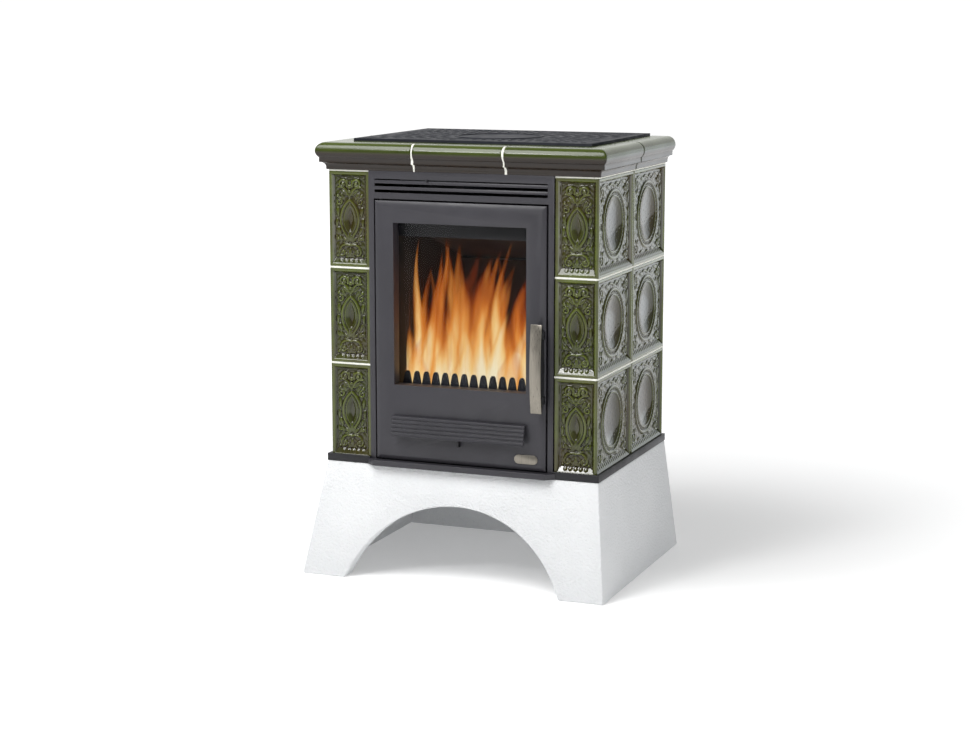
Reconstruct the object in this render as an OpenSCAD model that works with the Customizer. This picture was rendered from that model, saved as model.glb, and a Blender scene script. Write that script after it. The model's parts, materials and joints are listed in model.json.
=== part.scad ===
// Tiled wood-burning stove on a log-niche plinth.
//
// Relief tiles stand in three rows on a steel base plate, around a steel firebox with a
// glazed door. A glazed cornice closes the top, with a cast grille laid in it.
// Modules are drawn with y = 0 at the front faces of the tiles, the front facing -Y, and
// placed() moves them so that the origin is the middle of the bounding box, on the floor.

/* [Tiles] */
// Width over the outer faces of the side tiles
body_w = 652; // [540:1:800]
// Depth from the front tiles' faces to the back edges of the side tiles
body_d = 500; // [410:1:620]
// Height of one tile
tile_h = 220; // [180:1:270]
// Thickness of the tile bodies
tile_t = 35; // [25:1:45]
// Height and width of the joints between tiles
joint = 3; // [2:0.5:5]

/* [Plinth] */
// Height of the plinth
plinth_h = 259; // [210:1:330]
// How far the plinth's foot stands out at each side, beyond its top
plinth_flare = 37; // [10:1:60]
// How far the plinth's foot stands out at the front, beyond its top
plinth_flare_front = 68; // [20:1:90]
// Wall of the plinth
plinth_wall = 45; // [35:1:60]
// Half the width of the log arch on the floor
arch_half = 262; // [150:1:275]
// Height of the log arch
arch_rise = 179; // [120:1:190]

/* [Base plate] */
// Thickness of the base plate
base_t = 10; // [6:1:16]
// How far the base plate stands out beyond the tiles
base_over = 8; // [4:1:12]
// How far its lip stands up in front of the tiles
base_lip = 7; // [4:1:12]

/* [Cornice] */
// Height of the cornice
cornice_h = 62; // [50:1:78]
// Greatest overhang of the cornice beyond the tiles
cornice_over = 24; // [18:1:32]
// Width of the cornice's middle piece
cornice_mid_w = 217; // [120:1:300]

/* [Top grille] */
// Thickness of the cast grille
grille_t = 10; // [8:1:16]
// How far the grille stands above the cornice
grille_proud = 6; // [2:1:8]
// Diameter of the loose disc in the grille
disc_d = 207; // [160:1:250]

/* [Door] */
// Width of the door
door_w = 414; // [340:1:500]
// Depth of the door's folded edge
door_t = 34; // [28:1:42]
// Gap around the door
door_gap = 4; // [3:0.5:6]
// Height of the strip below the door
door_foot = 16; // [14:1:24]
// Height of the vent panel above the door
vent_panel_h = 67; // [64:1:80]
// Width of the door's frame at each side of the window
door_stile = 46; // [38:1:60]
// Distance from the bottom of the door to the window
door_sill = 175; // [145:1:220]
// Distance from the top of the door to the window
door_head = 49; // [40:1:60]
// Thickness of the glass
glass_t = 4; // [3:0.5:6]

/* [Door fittings] */
// Length of the handle bar
handle_len = 200; // [140:1:240]
// Width of the handle bar
handle_w = 26; // [18:1:30]
// How far the handle's front stands off the door
handle_out = 35; // [30:1:50]
// Height of the ribbed air cover
cover_h = 46; // [36:1:56]
// Travel of the lower air knob each way
air_travel = 30; // [10:1:35]
// Travel of the upper air knob each way
upper_travel = 60; // [20:1:60]

/* [Firebox] */
// Room between the steel firebox and the back edges of the tiles
box_behind = 60; // [20:1:100]
// Thickness of the firebox plate
plate_t = 4; // [3:0.5:6]
// Thickness of the firebricks
brick_t = 30; // [20:1:38]
// Diameter of the flue spigot
flue_d = 150; // [120:1:180]
// How far the flue spigot stands out behind the tiles
flue_out = 50; // [30:1:80]

/* [Hidden] */
$fn = 48;

rows = 3;
pitch = tile_h + joint;
base_z = plinth_h + base_t;
body_top = base_z + rows * pitch;
tile_x = body_w / 2;
tile_in = tile_x - tile_t;
side_tile_d = (body_d - joint) / 2;

// steel front between the half tiles
front_border = 13;
front_gap = 0.5;
front_x = door_w / 2 + door_gap + front_border;
corner_in = front_x + front_gap;

// the origin's place: halfway between the plinth's front foot and the spigot's end
plinth_front = base_over + plinth_flare_front;
total_d = plinth_front + body_d + flue_out;
face_y = plinth_front - total_d / 2;

// plinth and the circle of its arch
plinth_top_x = tile_x + base_over - 1;
arch_r = (arch_half * arch_half + arch_rise * arch_rise) / (2 * arch_rise);
arch_z = arch_rise - arch_r;

// sunk fields and rims of the tiles
tile_rim = 14;
tile_sunk = 5;
medallion_r = 72;
medallion_deep = 9;

// cornice moulding: a foot, a cove, a small step and a roll
cornice_z = body_top;
cornice_top = cornice_z + cornice_h;
cornice_foot_out = cornice_over - 19;
cornice_foot_h = 5;
cornice_step = 6;
cove_r = 12;
roll_r = (cornice_h - cornice_foot_h - cove_r - cornice_step) / 2;
cornice_front_in = 57;

// grille, its rim and its disc
grille_gap = 2;
grille_x = tile_in - grille_gap;
grille_front = cornice_front_in + grille_gap;
grille_back = body_d - 9;
grille_top = cornice_top + grille_proud;
grille_z = grille_top - grille_t;
rim_t = 6;
rim_w = 12;
petal_l = 24;
petal_w = 11;
petal_pitch = 24;
petal_ring = 28;
petal_margin = rim_w + 16;
disc_t = 8;
disc_proud = 2;
disc_seat = 6;
disc_play = 1;
disc_y = (grille_front + grille_back) / 2 - 35;
disc_z = grille_top + disc_proud - disc_t;

// sheet front and the openings in it
sheet_t = 4;
sheet_y = -4;
door_y = -10;
door_x = door_w / 2;
door_z0 = plinth_h + door_foot;
door_z1 = body_top - vent_panel_h;
opening_x = door_x + door_gap;
opening_z0 = door_z0 - door_gap;
opening_z1 = door_z1 + door_gap;
vent_x = door_x + 2;
slot_h = 6;
slat_h = 8;
knob_slot_h = 3;
vent_z0 = opening_z1 + 14;
vent_z1 = vent_z0 + 2 * (slot_h + slat_h) + knob_slot_h;
lip_h = door_foot - 3;
lip_out = 25;
lip_bevel = 19;

// door casing
door_skin = 5;
door_wall = 4;
bevel_w = 9;
bevel_d = 4;
door_back = door_y + door_t;

// window, glass and what holds it
window_x = door_x - door_stile;
window_z1 = door_z1 - door_head;
window_z0 = door_z0 + door_sill;
glass_lap = 9;
glass_y = door_back - glass_t;
liner_t = 3;
liner_gap = 2;
liner_back = door_back + liner_t;
seal_t = 13;
jamb_back = liner_back + seal_t;
clip_w = 24;
clip_t = 2;
strip_drop = 33;
strip_t = 2;
seal_w = 10;
seal_in = 12;
seal_gap = 0.3;
seal_x = door_x - seal_in - 5;

// hinge of the door: one pin at its top and one at its foot
hinge_x = -(door_x - 12);
hinge_y = 2;
pin_r = 3;
pin_play = 0.05;
pin_end = 4;
knuckle_w = 16;
knuckle_h = 15;

// handle: a bowed bar on a lever that turns on an upright pin
lever_x = door_x - 7;
lever_y = door_y - 8;
lever_pin_r = 4;
lever_tube_r = 6.5;
lever_play = 0.05;
lever_web_t = 3;
handle_z0 = window_z0 - 38;
handle_mid = handle_z0 + handle_len / 2;
bar_t = 4;
bar_bow = 8;
bar_y = door_y - handle_out;
bracket_h = 18;
bracket_in = 18;
bracket_w = 14;
latch_h = 16;
latch_t = 6;
latch_reach = 37;
latch_tip = door_x + 2;
keeper_x = latch_tip + 0.9;

// ribbed air cover and the slider under it
cover_x = window_x + 1;
cover_z0 = door_z0 + 58;
cover_z1 = cover_z0 + cover_h;
cover_top_out = 10;
cover_foot_out = 20;
cover_t = 3;
ribs = 5;
rib_h = 2.5;
slide_gap = 0.3;
slider_t = 2.5;
slider_w = 2 * (cover_x - air_travel - 10);
slider_edge = 17;
air_slots = 3;
air_slot_bar = 15;
air_slot_w = (slider_w - 2 * slider_edge - (air_slots - 1) * air_slot_bar) / air_slots;
air_slot_h = 14;
air_slot_z = cover_z0 + 14;
knob_w = 5;
knob_back = 8;

// firebox
box_y = jamb_back;
box_back = body_d - box_behind;
box_z0 = door_z0 + 20;
box_z1 = vent_z0 - 5;
fire_x = seal_x - seal_w - 2;
box_x = fire_x + 27;
fire_z0 = box_z0 + plate_t;
fire_z1 = door_z1 - seal_in - seal_w - 2;
brick_x = box_x - plate_t;
brick_back = box_back - plate_t;
brick_front = box_y + plate_t;
hearth_t = 30;
hearth_z = window_z0 - 45;
baffle_t = 20;
baffle_front = brick_front + 106;
baffle_z0 = window_z1 - 125;
baffle_z1 = window_z1 - 32;
flue_r = flue_d / 2;
flue_t = 2;
flue_z = box_z1 - flue_r - 14;
collar_r = flue_r + 3;
blank_r = flue_r + 10;
blank_t = 6;
guard_y = brick_front + 2;
guard_t = 6;
guard_x = brick_x - brick_t - 6;
guard_tip = window_z0 + 24;
tooth_h = 32;
teeth = round(2 * guard_x / 23.7);
tooth_pitch = 2 * guard_x / teeth;
grate_w = 200;
grate_d = 220;
grate_t = 14;
grate_lap = 6;
grate_play = 0.5;
grate_slots = 8;
grate_y = (brick_front + brick_back) / 2;
pan_x = fire_x - 8;
pan_h = hearth_z - hearth_t - fire_z0 - 21;
pan_t = 2;
pan_front = brick_front + 6;
pan_back = brick_back - 46;

// casing behind the tiles
rail_w = 28;
rail_t = 3;
rail_gap = 0.4;
panel_t = 4;
panel_back = body_d - 2;
screw_r = 4.5;
screw_h = 3;

// ---- helpers ----

module placed() {
    translate([0, face_y, 0]) children();
}

module on_side(side) {
    if (side == "left") mirror([1, 0, 0]) children();
    else children();
}

// a box given by its lowest and highest corners
module block(low, high) {
    translate(low) cube(high - low);
}

// carries an outline in (y, z) along X
module along_x(x0, x1) {
    translate([x0, 0, 0]) rotate([90, 0, 90]) linear_extrude(x1 - x0) children();
}

// carries an outline in (x, z) along Y
module along_y(y0, y1) {
    translate([0, y1, 0]) rotate([90, 0, 0]) linear_extrude(y1 - y0) children();
}

// a rectangular ring in (x, z), w wide, carried along Y
module ring(x, z0, z1, w, y0, y1) {
    difference() {
        block([-x, y0, z0], [x, y1, z1]);
        block([-x + w, y0 - 1, z0 + w], [x - w, y1 + 1, z1 - w]);
    }
}

// an upright round bar or bore
module upright(x, y, z0, z1, r) {
    translate([x, y, z0]) cylinder(r = r, h = z1 - z0);
}

// points of an arc around c, from angle a to angle b
function arc(c, r, a, b, n) =
    [for (i = [0:n]) let (t = a + (b - a) * i / n) c + r * [cos(t), sin(t)]];

// ---- plinth and base ----

// the solid between the sloping faces, cut off at height h and inset on every side
module plinth_body(h, inset, foot) {
    k = 1 - h / plinth_h;
    top_x = plinth_top_x - inset;
    top_y = inset - base_over;
    low_x = top_x + plinth_flare;
    low_y = top_y - plinth_flare_front;
    end_x = top_x + plinth_flare * k;
    end_y = top_y - plinth_flare_front * k;
    back = body_d - inset;
    intersection() {
        along_y(-plinth_front - 1, back)
            polygon([[-low_x, foot], [low_x, foot], [low_x, 0], [end_x, h], [-end_x, h], [-low_x, 0]]);
        along_x(-low_x - 1, low_x + 1)
            polygon([[low_y, foot], [back, foot], [back, h], [end_y, h], [low_y, 0]]);
    }
}

module plinth() {
    color("white")
    difference() {
        plinth_body(plinth_h, 0, 0);
        plinth_body(plinth_h - plinth_wall, plinth_wall, -1);
        translate([0, body_d / 2, arch_z]) rotate([90, 0, 0]) cylinder(r = arch_r, h = body_d);
    }
}

module base_plate() {
    x = tile_x + base_over;
    lip_z = base_z + base_lip;
    inner = tile_x + rail_gap;
    color("dimgray")
    difference() {
        block([-x, -base_over, plinth_h], [x, body_d, lip_z]);
        block([-inner, -rail_gap, base_z], [inner, body_d + 1, lip_z + 1]);
        block([-corner_in, -base_over - 1, plinth_h - 1], [corner_in, jamb_back, lip_z + 1]);
        block([-box_x / 2, body_d / 4, plinth_h - 1], [box_x / 2, body_d * 3 / 4, base_z + 1]);
    }
}

// ledge under the door, to catch embers
module ash_lip() {
    wide = front_x + 7;
    narrow = wide - lip_bevel;
    tongue = front_x - 1;
    color("dimgray")
    translate([0, 0, plinth_h]) linear_extrude(lip_h)
        polygon([
            [-wide, -base_over], [-narrow, -lip_out], [narrow, -lip_out], [wide, -base_over],
            [tongue, -base_over], [tongue, sheet_y], [-tongue, sheet_y], [-tongue, -base_over]
        ]);
}

// ---- tiles ----

// the sunk field of a tile: a low frustum cut into a face that looks along -Y
module field(w, h) {
    intersection() {
        along_y(-1, tile_sunk) square([w, h], center = true);
        translate([0, 0, -h / 2]) linear_extrude(h)
            polygon([[-w / 2, -1], [w / 2, -1], [w / 2, 0], [w / 2 - tile_sunk, tile_sunk],
                     [-w / 2 + tile_sunk, tile_sunk], [-w / 2, 0]]);
        along_x(-w / 2, w / 2)
            polygon([[-1, -h / 2], [0, -h / 2], [tile_sunk, -h / 2 + tile_sunk],
                     [tile_sunk, h / 2 - tile_sunk], [0, h / 2], [-1, h / 2]]);
    }
}

// the field of a whole tile on the right side, with a round hollow in its middle
module side_field(y0, y1, z) {
    translate([tile_x, (y0 + y1) / 2, z + tile_h / 2]) rotate([0, 0, 90]) {
        field(y1 - y0 - 2 * tile_rim, tile_h - 2 * tile_rim);
        rotate([-90, 0, 0]) cylinder(r = medallion_r, h = medallion_deep);
    }
}

// an L-shaped corner tile: half a tile wide on the front, a whole one on the side
module corner_tile(row) {
    z = base_z + (row - 1) * pitch;
    color("darkolivegreen")
    difference() {
        block([corner_in, 0, z], [tile_x, side_tile_d, z + tile_h]);
        block([corner_in - 1, tile_t, z - 1], [tile_in, side_tile_d + 1, z + tile_h + 1]);
        translate([(corner_in + tile_x) / 2, 0, z + tile_h / 2])
            field(tile_x - corner_in - 2 * tile_rim, tile_h - 2 * tile_rim);
        side_field(0, side_tile_d, z);
    }
}

module side_tile(row) {
    z = base_z + (row - 1) * pitch;
    color("olivedrab")
    difference() {
        block([tile_in, side_tile_d + joint, z], [tile_x, body_d, z + tile_h]);
        side_field(side_tile_d + joint, body_d, z);
    }
}

// filler of one side's joints: an L-shaped bed over each row, and the upright joint
module tile_joints() {
    color("ivory")
    for (row = [1:rows]) {
        z = base_z + row * pitch - joint;
        difference() {
            block([corner_in, 0, z], [tile_x, body_d, z + joint]);
            block([corner_in - 1, tile_t, z - 1], [tile_in, body_d + 1, z + joint + 1]);
        }
        block([tile_in, side_tile_d, z - tile_h], [tile_x - 1, side_tile_d + joint, z]);
    }
}

// ---- cornice ----

// the moulding's outline, as (distance out from the tiles, height)
function moulding(inner) = concat(
    [[-inner, cornice_z], [cornice_foot_out, cornice_z]],
    arc([cornice_foot_out + cove_r, cornice_z + cornice_foot_h], cove_r, 180, 90, 8),
    arc([cornice_over - roll_r, cornice_top - roll_r], roll_r, -50, 90, 14),
    [[-inner, cornice_top]]
);

module cornice_front_run(x0, x1) {
    along_x(x0, x1) mirror([1, 0]) polygon(moulding(cornice_front_in));
}

module cornice_side_run(y0, y1) {
    translate([tile_x, 0, 0]) along_y(y0, y1) polygon(moulding(tile_t));
}

// the part of the corner in front of the mitre, or behind it
module mitre(front) {
    far = tile_x + cornice_over + 1;
    out = -cornice_over - 1;
    translate([0, 0, cornice_z - 1]) linear_extrude(cornice_h + 2)
        polygon(front
            ? [[0, out], [far, out], [tile_in, tile_t], [tile_in, body_d], [0, body_d]]
            : [[far, out], [far, body_d], [tile_in - 1, body_d], [tile_in - 1, tile_t + 1]]);
}

module cornice_corner() {
    color("darkolivegreen") {
        intersection() {
            cornice_front_run(cornice_mid_w / 2 + joint, tile_x + cornice_over);
            mitre(true);
        }
        intersection() {
            cornice_side_run(-cornice_over, side_tile_d);
            mitre(false);
        }
    }
}

module cornice_middle() {
    color("darkolivegreen") cornice_front_run(-cornice_mid_w / 2, cornice_mid_w / 2);
}

module cornice_rear() {
    color("darkolivegreen") cornice_side_run(side_tile_d + joint, body_d);
}

module cornice_joints() {
    color("ivory")
    for (side = ["left", "right"]) on_side(side) {
        cornice_front_run(cornice_mid_w / 2, cornice_mid_w / 2 + joint);
        cornice_side_run(side_tile_d, side_tile_d + joint);
    }
}

// ---- top grille ----

module grille_rim() {
    z = grille_z - rim_t;
    color("black")
    difference() {
        block([-tile_in, cornice_front_in, z], [tile_in, panel_back - panel_t, grille_z]);
        block([-tile_in + rim_w, cornice_front_in + rim_w, z - 1],
              [tile_in - rim_w, panel_back - panel_t - rim_w, grille_z + 1]);
    }
}

// a leaf-shaped slot along X, between two arcs
module petal() {
    r = (petal_l * petal_l + petal_w * petal_w) / (4 * petal_w);
    intersection() {
        translate([0, r - petal_w / 2]) circle(r = r);
        translate([0, petal_w / 2 - r]) circle(r = r);
    }
}

// rings of petals around the disc, each ring half a step round from the last
module petals() {
    corner = norm([grille_x, max(grille_back - disc_y, disc_y - grille_front)]);
    for (r = [disc_d / 2 + 26:petal_ring:corner]) {
        n = 6 * round(PI * r / (3 * petal_pitch));
        turn = 180 / n * (round((r - disc_d / 2) / petal_ring) % 2);
        for (i = [0:n - 1]) {
            a = i * 360 / n + turn;
            x = r * cos(a);
            y = disc_y + r * sin(a);
            if (abs(x) < grille_x - petal_margin && y > grille_front + petal_margin
                    && y < grille_back - petal_margin)
                translate([x, y]) rotate(a) petal();
        }
    }
}

module top_grille() {
    disc_r = disc_d / 2;
    color("darkslategray")
    difference() {
        translate([0, 0, grille_z]) linear_extrude(grille_t)
            difference() {
                translate([-grille_x, grille_front])
                    square([2 * grille_x, grille_back - grille_front]);
                petals();
            }
        upright(0, disc_y, grille_z - 1, grille_top + 1, disc_r - disc_seat);
        upright(0, disc_y, disc_z, grille_top + 1, disc_r + disc_play);
    }
}

module grille_disc() {
    color("darkslategray")
    difference() {
        upright(0, disc_y, disc_z, disc_z + disc_t, disc_d / 2);
        upright(0, disc_y, disc_z + disc_t - disc_proud, disc_z + disc_t + 1, disc_d / 2 - 8);
    }
}

// ---- sheet front ----

module front_sheet() {
    color("slategray")
    difference() {
        union() {
            block([-front_x, sheet_y, plinth_h + 0.5], [front_x, sheet_y + sheet_t, body_top]);
            block([-opening_x - sheet_t, sheet_y, opening_z0 - sheet_t],
                  [opening_x + sheet_t, jamb_back, opening_z1 + sheet_t]);
        }
        block([-opening_x, sheet_y - 1, opening_z0], [opening_x, jamb_back + 1, opening_z1]);
        block([-vent_x, sheet_y - 1, vent_z0], [vent_x, sheet_y + sheet_t + 1, vent_z1]);
        upright(hinge_x, hinge_y, opening_z0 - sheet_t - pin_end - 0.5, opening_z0 + 1, pin_r);
        upright(hinge_x, hinge_y, opening_z1 - 1, opening_z1 + sheet_t + pin_end + 0.5, pin_r);
    }
}

// louvre slats across the vent, with drip edges that lean forward
module vent_slats() {
    color("slategray")
    for (i = [0:1]) {
        z = vent_z0 + slot_h + i * (slot_h + slat_h);
        along_x(-vent_x, vent_x)
            polygon([[0, z], [sheet_y - 1, z + 1], [sheet_y - 1, z + 3],
                     [sheet_y, z + slat_h], [0, z + slat_h]]);
    }
}

module upper_air_slider() {
    x = -80;
    z = vent_z1 - knob_slot_h;
    half = vent_x - upper_travel + x - 2;
    color("silver") {
        block([x - half, slide_gap, z - 4], [x + half, slide_gap + 2, z + 6]);
        block([x - 3, door_y + 1, z + 0.4], [x + 3, slide_gap + 1, z + knob_slot_h - 0.4]);
    }
}

// ---- door ----

module door_outer() {
    x = door_x;
    intersection() {
        translate([0, 0, door_z0]) linear_extrude(door_z1 - door_z0)
            polygon([[-x, door_back], [-x, door_y + bevel_d], [-x + bevel_w, door_y],
                     [x - bevel_w, door_y], [x, door_y + bevel_d], [x, door_back]]);
        along_x(-x, x)
            polygon([[door_back, door_z0], [door_y + bevel_d, door_z0],
                     [door_y, door_z0 + bevel_w], [door_y, door_z1 - bevel_w],
                     [door_y + bevel_d, door_z1], [door_back, door_z1]]);
    }
}

module knuckles() {
    for (z = [door_z0, door_z1 - knuckle_h])
        block([hinge_x - knuckle_w / 2, door_y + door_skin - 1, z],
              [hinge_x + knuckle_w / 2, hinge_y + knuckle_w / 2, z + knuckle_h]);
}

module door_casing() {
    inner = door_x - door_wall;
    reveal = window_x + door_wall;
    color("darkslategray")
    difference() {
        union() {
            difference() {
                door_outer();
                block([-inner, door_y + door_skin, door_z0 + door_wall],
                      [inner, door_back + 1, door_z1 - door_wall]);
            }
            block([-reveal, door_y + door_skin - 1, window_z0 - door_wall],
                  [reveal, glass_y, window_z1 + door_wall]);
            knuckles();
        }
        block([-window_x, door_y - 1, window_z0], [window_x, glass_y + 1, window_z1]);
        for (z = [door_z0, door_z1 - knuckle_h])
            upright(hinge_x, hinge_y, z - 1, z + knuckle_h + 1, pin_r + pin_play);
        for (i = [0:air_slots - 1]) {
            x = (i - (air_slots - 1) / 2) * (air_slot_w + air_slot_bar);
            block([x - air_slot_w / 2, door_y - 1, air_slot_z],
                  [x + air_slot_w / 2, door_y + door_skin + 1, air_slot_z + air_slot_h]);
        }
        block([lever_x - 11, door_y - 1, handle_mid - latch_h / 2 - 1],
              [lever_x + 4, door_y + door_skin + 1, handle_mid + latch_h / 2 + 1]);
        block([inner - 1, lever_y + latch_reach - latch_t - 2, handle_mid - latch_h / 2 - 1],
              [door_x + 1, lever_y + latch_reach + 2, handle_mid + latch_h / 2 + 1]);
    }
}

// sheet that closes the back of the casing around the glass
module door_liner() {
    x = door_x - 6;
    open_x = window_x + glass_lap + liner_gap;
    color("gray")
    difference() {
        block([-x, door_back, door_z0 + 6], [x, liner_back, door_z1 - 6]);
        block([-open_x, door_back - 1, window_z0 - glass_lap - liner_gap],
              [open_x, liner_back + 1, window_z1 + glass_lap + liner_gap]);
    }
}

module door_glass() {
    x = window_x + glass_lap;
    color("lightblue", 0.4)
    block([-x, glass_y, window_z0 - glass_lap], [x, door_back, window_z1 + glass_lap]);
}

// stepped clips that press the glass from behind, two at each side and two at the foot
module glass_clips() {
    out = window_x + glass_lap + liner_gap + 5;
    foot = window_x + 4;
    color("silver") {
        for (side = ["left", "right"], z = [window_z0 + 60, window_z1 - 90]) on_side(side) {
            block([foot, liner_back, z], [out, liner_back + clip_t, z + clip_w]);
            block([foot, door_back, z], [foot + 5, liner_back, z + clip_w]);
        }
        for (x = [-80 - clip_w / 2, 80 - clip_w / 2]) {
            z = window_z0 - 4;
            block([x, liner_back, z - 12], [x + clip_w, liner_back + clip_t, z]);
            block([x, door_back, z - 5], [x + clip_w, liner_back, z]);
        }
    }
}

// bent strip behind the top of the glass, which turns air down over it
module air_wash_strip() {
    top = window_z1 + glass_lap + liner_gap + 12;
    low = window_z1 - strip_drop;
    color("gray")
    along_x(-window_x - 3, window_x + 3)
        polygon([[liner_back, top], [liner_back + strip_t, top], [liner_back + strip_t, low],
                 [door_back + 0.5, low], [door_back + 0.5, low + strip_t],
                 [liner_back, low + strip_t]]);
}

module door_seal() {
    color("lightgray")
    ring(seal_x, door_z0 + seal_in, door_z1 - seal_in, seal_w, liner_back, box_y - seal_gap);
}

module door_hinge_pins() {
    color("silver") {
        upright(hinge_x, hinge_y, opening_z0 - sheet_t - pin_end, door_z0 + knuckle_h, pin_r);
        upright(hinge_x, hinge_y, door_z1 - knuckle_h, opening_z1 + sheet_t + pin_end, pin_r);
    }
}

module latch_keeper() {
    color("silver")
    block([keeper_x, sheet_y + sheet_t + 4, handle_mid - latch_h],
          [opening_x, jamb_back - 6, handle_mid + latch_h]);
}

// ---- handle ----

// y of the bar's front face at height z: a shallow parabola
function bow(z) = bar_y + bar_bow * pow((z - handle_mid) / (handle_len / 2), 2);
function bow_points(z0, z1, dy) =
    [for (i = [0:12]) let (z = z0 + (z1 - z0) * i / 12) [bow(z) + dy, z]];

module handle_brackets() {
    color("dimgray")
    for (z = [handle_z0 + bracket_in, handle_z0 + handle_len - bracket_in - bracket_h])
        difference() {
            union() {
                upright(lever_x, lever_y, z, z + bracket_h, bracket_w / 2);
                block([lever_x - bracket_w / 2, lever_y, z],
                      [lever_x + bracket_w / 2, door_y, z + bracket_h]);
            }
            upright(lever_x, lever_y, z - 1, z + bracket_h + 1, lever_pin_r);
        }
}

module handle_pin() {
    color("silver")
    upright(lever_x, lever_y, handle_z0 + bracket_in - 2,
            handle_z0 + handle_len - bracket_in + 2, lever_pin_r);
}

module handle_lever() {
    z0 = handle_z0 + bracket_in + bracket_h + 1;
    z1 = handle_z0 + handle_len - bracket_in - bracket_h - 1;
    web_x = lever_x + lever_tube_r - lever_web_t;
    end = 6;
    tip_y = lever_y + latch_reach;
    low = handle_mid - latch_h / 2;
    color("dimgray")
    difference() {
        union() {
            upright(lever_x, lever_y, z0, z1, lever_tube_r);
            along_x(web_x, web_x + lever_web_t)
                polygon(concat(
                    bow_points(handle_z0 + end, handle_z0 + handle_len - end, bar_t),
                    [[lever_y - bracket_w / 2 - 1, handle_z0 + handle_len - end],
                     [lever_y - bracket_w / 2 - 1, z1], [lever_y, z1], [lever_y, z0],
                     [lever_y - bracket_w / 2 - 1, z0],
                     [lever_y - bracket_w / 2 - 1, handle_z0 + end]]
                ));
            block([lever_x - latch_t / 2, lever_y, low],
                  [lever_x + latch_t / 2, tip_y, low + latch_h]);
            block([lever_x - latch_t / 2, tip_y - latch_t, low], [latch_tip, tip_y, low + latch_h]);
        }
        upright(lever_x, lever_y, z0 - 1, z1 + 1, lever_pin_r + lever_play);
    }
}

module handle_bar() {
    z1 = handle_z0 + handle_len;
    color("silver")
    along_x(door_x + 1 - handle_w, door_x + 1)
        polygon(concat(bow_points(handle_z0, z1, 0), bow_points(z1, handle_z0, bar_t)));
}

// ---- air controls and badge ----

// y of the cover's sloping face at height z, before its ribs
function cover_face(z) =
    door_y - cover_top_out - (cover_foot_out - cover_top_out) * (cover_z1 - z) / cover_h;

module air_cover() {
    rib = cover_h / ribs;
    color("darkslategray")
    along_x(-cover_x, cover_x)
        polygon(concat(
            [[door_y, cover_z1 - cover_t], [door_y, cover_z1]],
            [for (i = [0:ribs - 1]) let (z = cover_z1 - i * rib)
                for (p = [[0, 0], [rib_h, 0.12], [rib_h, 0.6], [0, 0.75]])
                    [cover_face(z - p[1] * rib) - p[0], z - p[1] * rib]],
            [[cover_face(cover_z0), cover_z0], [cover_face(cover_z0) + cover_t, cover_z0],
             [cover_face(cover_z1) + cover_t, cover_z1 - cover_t]]
        ));
}

module lower_air_slider() {
    y = door_y - slide_gap;
    color("gray")
    difference() {
        union() {
            block([-slider_w / 2, y - slider_t, air_slot_z - 6],
                  [slider_w / 2, y, air_slot_z + air_slot_h + 6]);
            block([-knob_w / 2, door_y - cover_foot_out + knob_back, cover_z0 - 16],
                  [knob_w / 2, y, air_slot_z - 3]);
        }
        for (i = [0:air_slots - 1]) {
            x = (i - (air_slots - 1) / 2) * (air_slot_w + air_slot_bar);
            block([x - air_slot_w / 2 + 5, y - slider_t - 1, air_slot_z],
                  [x + air_slot_w / 2 - 5, y + 1, air_slot_z + air_slot_h]);
        }
    }
}

module badge_plate() {
    w = 56;
    h = 21;
    x = door_x - bevel_w - 8 - w / 2;
    z = door_z0 + 25;
    r = h / 2;
    color("silver") {
        block([x - w / 2 + r, door_y - 2, z - r], [x + w / 2 - r, door_y, z + r]);
        for (side = [-1, 1])
            translate([x + side * (w / 2 - r), door_y, z]) rotate([90, 0, 0])
                cylinder(r = r, h = 2);
    }
}

// ---- firebox ----

module log_guard() {
    root = guard_tip - tooth_h;
    first = -(teeth - 1) / 2 * tooth_pitch;
    color("dimgray")
    along_y(guard_y, guard_y + guard_t)
        polygon(concat(
            [[-guard_x, hearth_z], [-guard_x, root]],
            [for (i = [0:teeth - 1]) let (x = first + i * tooth_pitch)
                for (p = [[-0.47, 0], [-0.25, 0.85], [-0.12, 1], [0.12, 1], [0.25, 0.85], [0.47, 0]])
                    [x + p[0] * tooth_pitch, root + p[1] * tooth_h]],
            [[guard_x, root], [guard_x, hearth_z]]
        ));
}

// frame around the fire opening, which the door's seal presses on
module firebox_front() {
    flange_x = opening_x + 8;
    color("gray")
    difference() {
        block([-flange_x, box_y, base_z], [flange_x, brick_front, box_z1]);
        block([-fire_x, box_y - 1, fire_z0], [fire_x, brick_front + 1, fire_z1]);
    }
}

module firebox_shell() {
    color("gray")
    difference() {
        block([-box_x, brick_front, box_z0], [box_x, box_back, box_z1]);
        block([-brick_x, brick_front - 1, fire_z0], [brick_x, brick_back, box_z1 - plate_t]);
        translate([0, box_back + 1, flue_z]) rotate([90, 0, 0])
            cylinder(r = flue_r - flue_t, h = plate_t + 2);
        upright(0, disc_y, box_z1 - plate_t - 1, box_z1 + 1, flue_r);
    }
}

// side bricks, their tops sloping with the baffle that lies on them
module firebrick_side() {
    color("tan")
    along_x(brick_x - brick_t, brick_x)
        polygon([[brick_front, hearth_z], [brick_back, hearth_z], [brick_back, baffle_z0],
                 [baffle_front, baffle_z1], [brick_front, baffle_z1]]);
}

module firebrick_back() {
    x = brick_x - brick_t;
    color("tan")
    block([-x, brick_back - brick_t, hearth_z], [x, brick_back, baffle_z0]);
}

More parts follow.
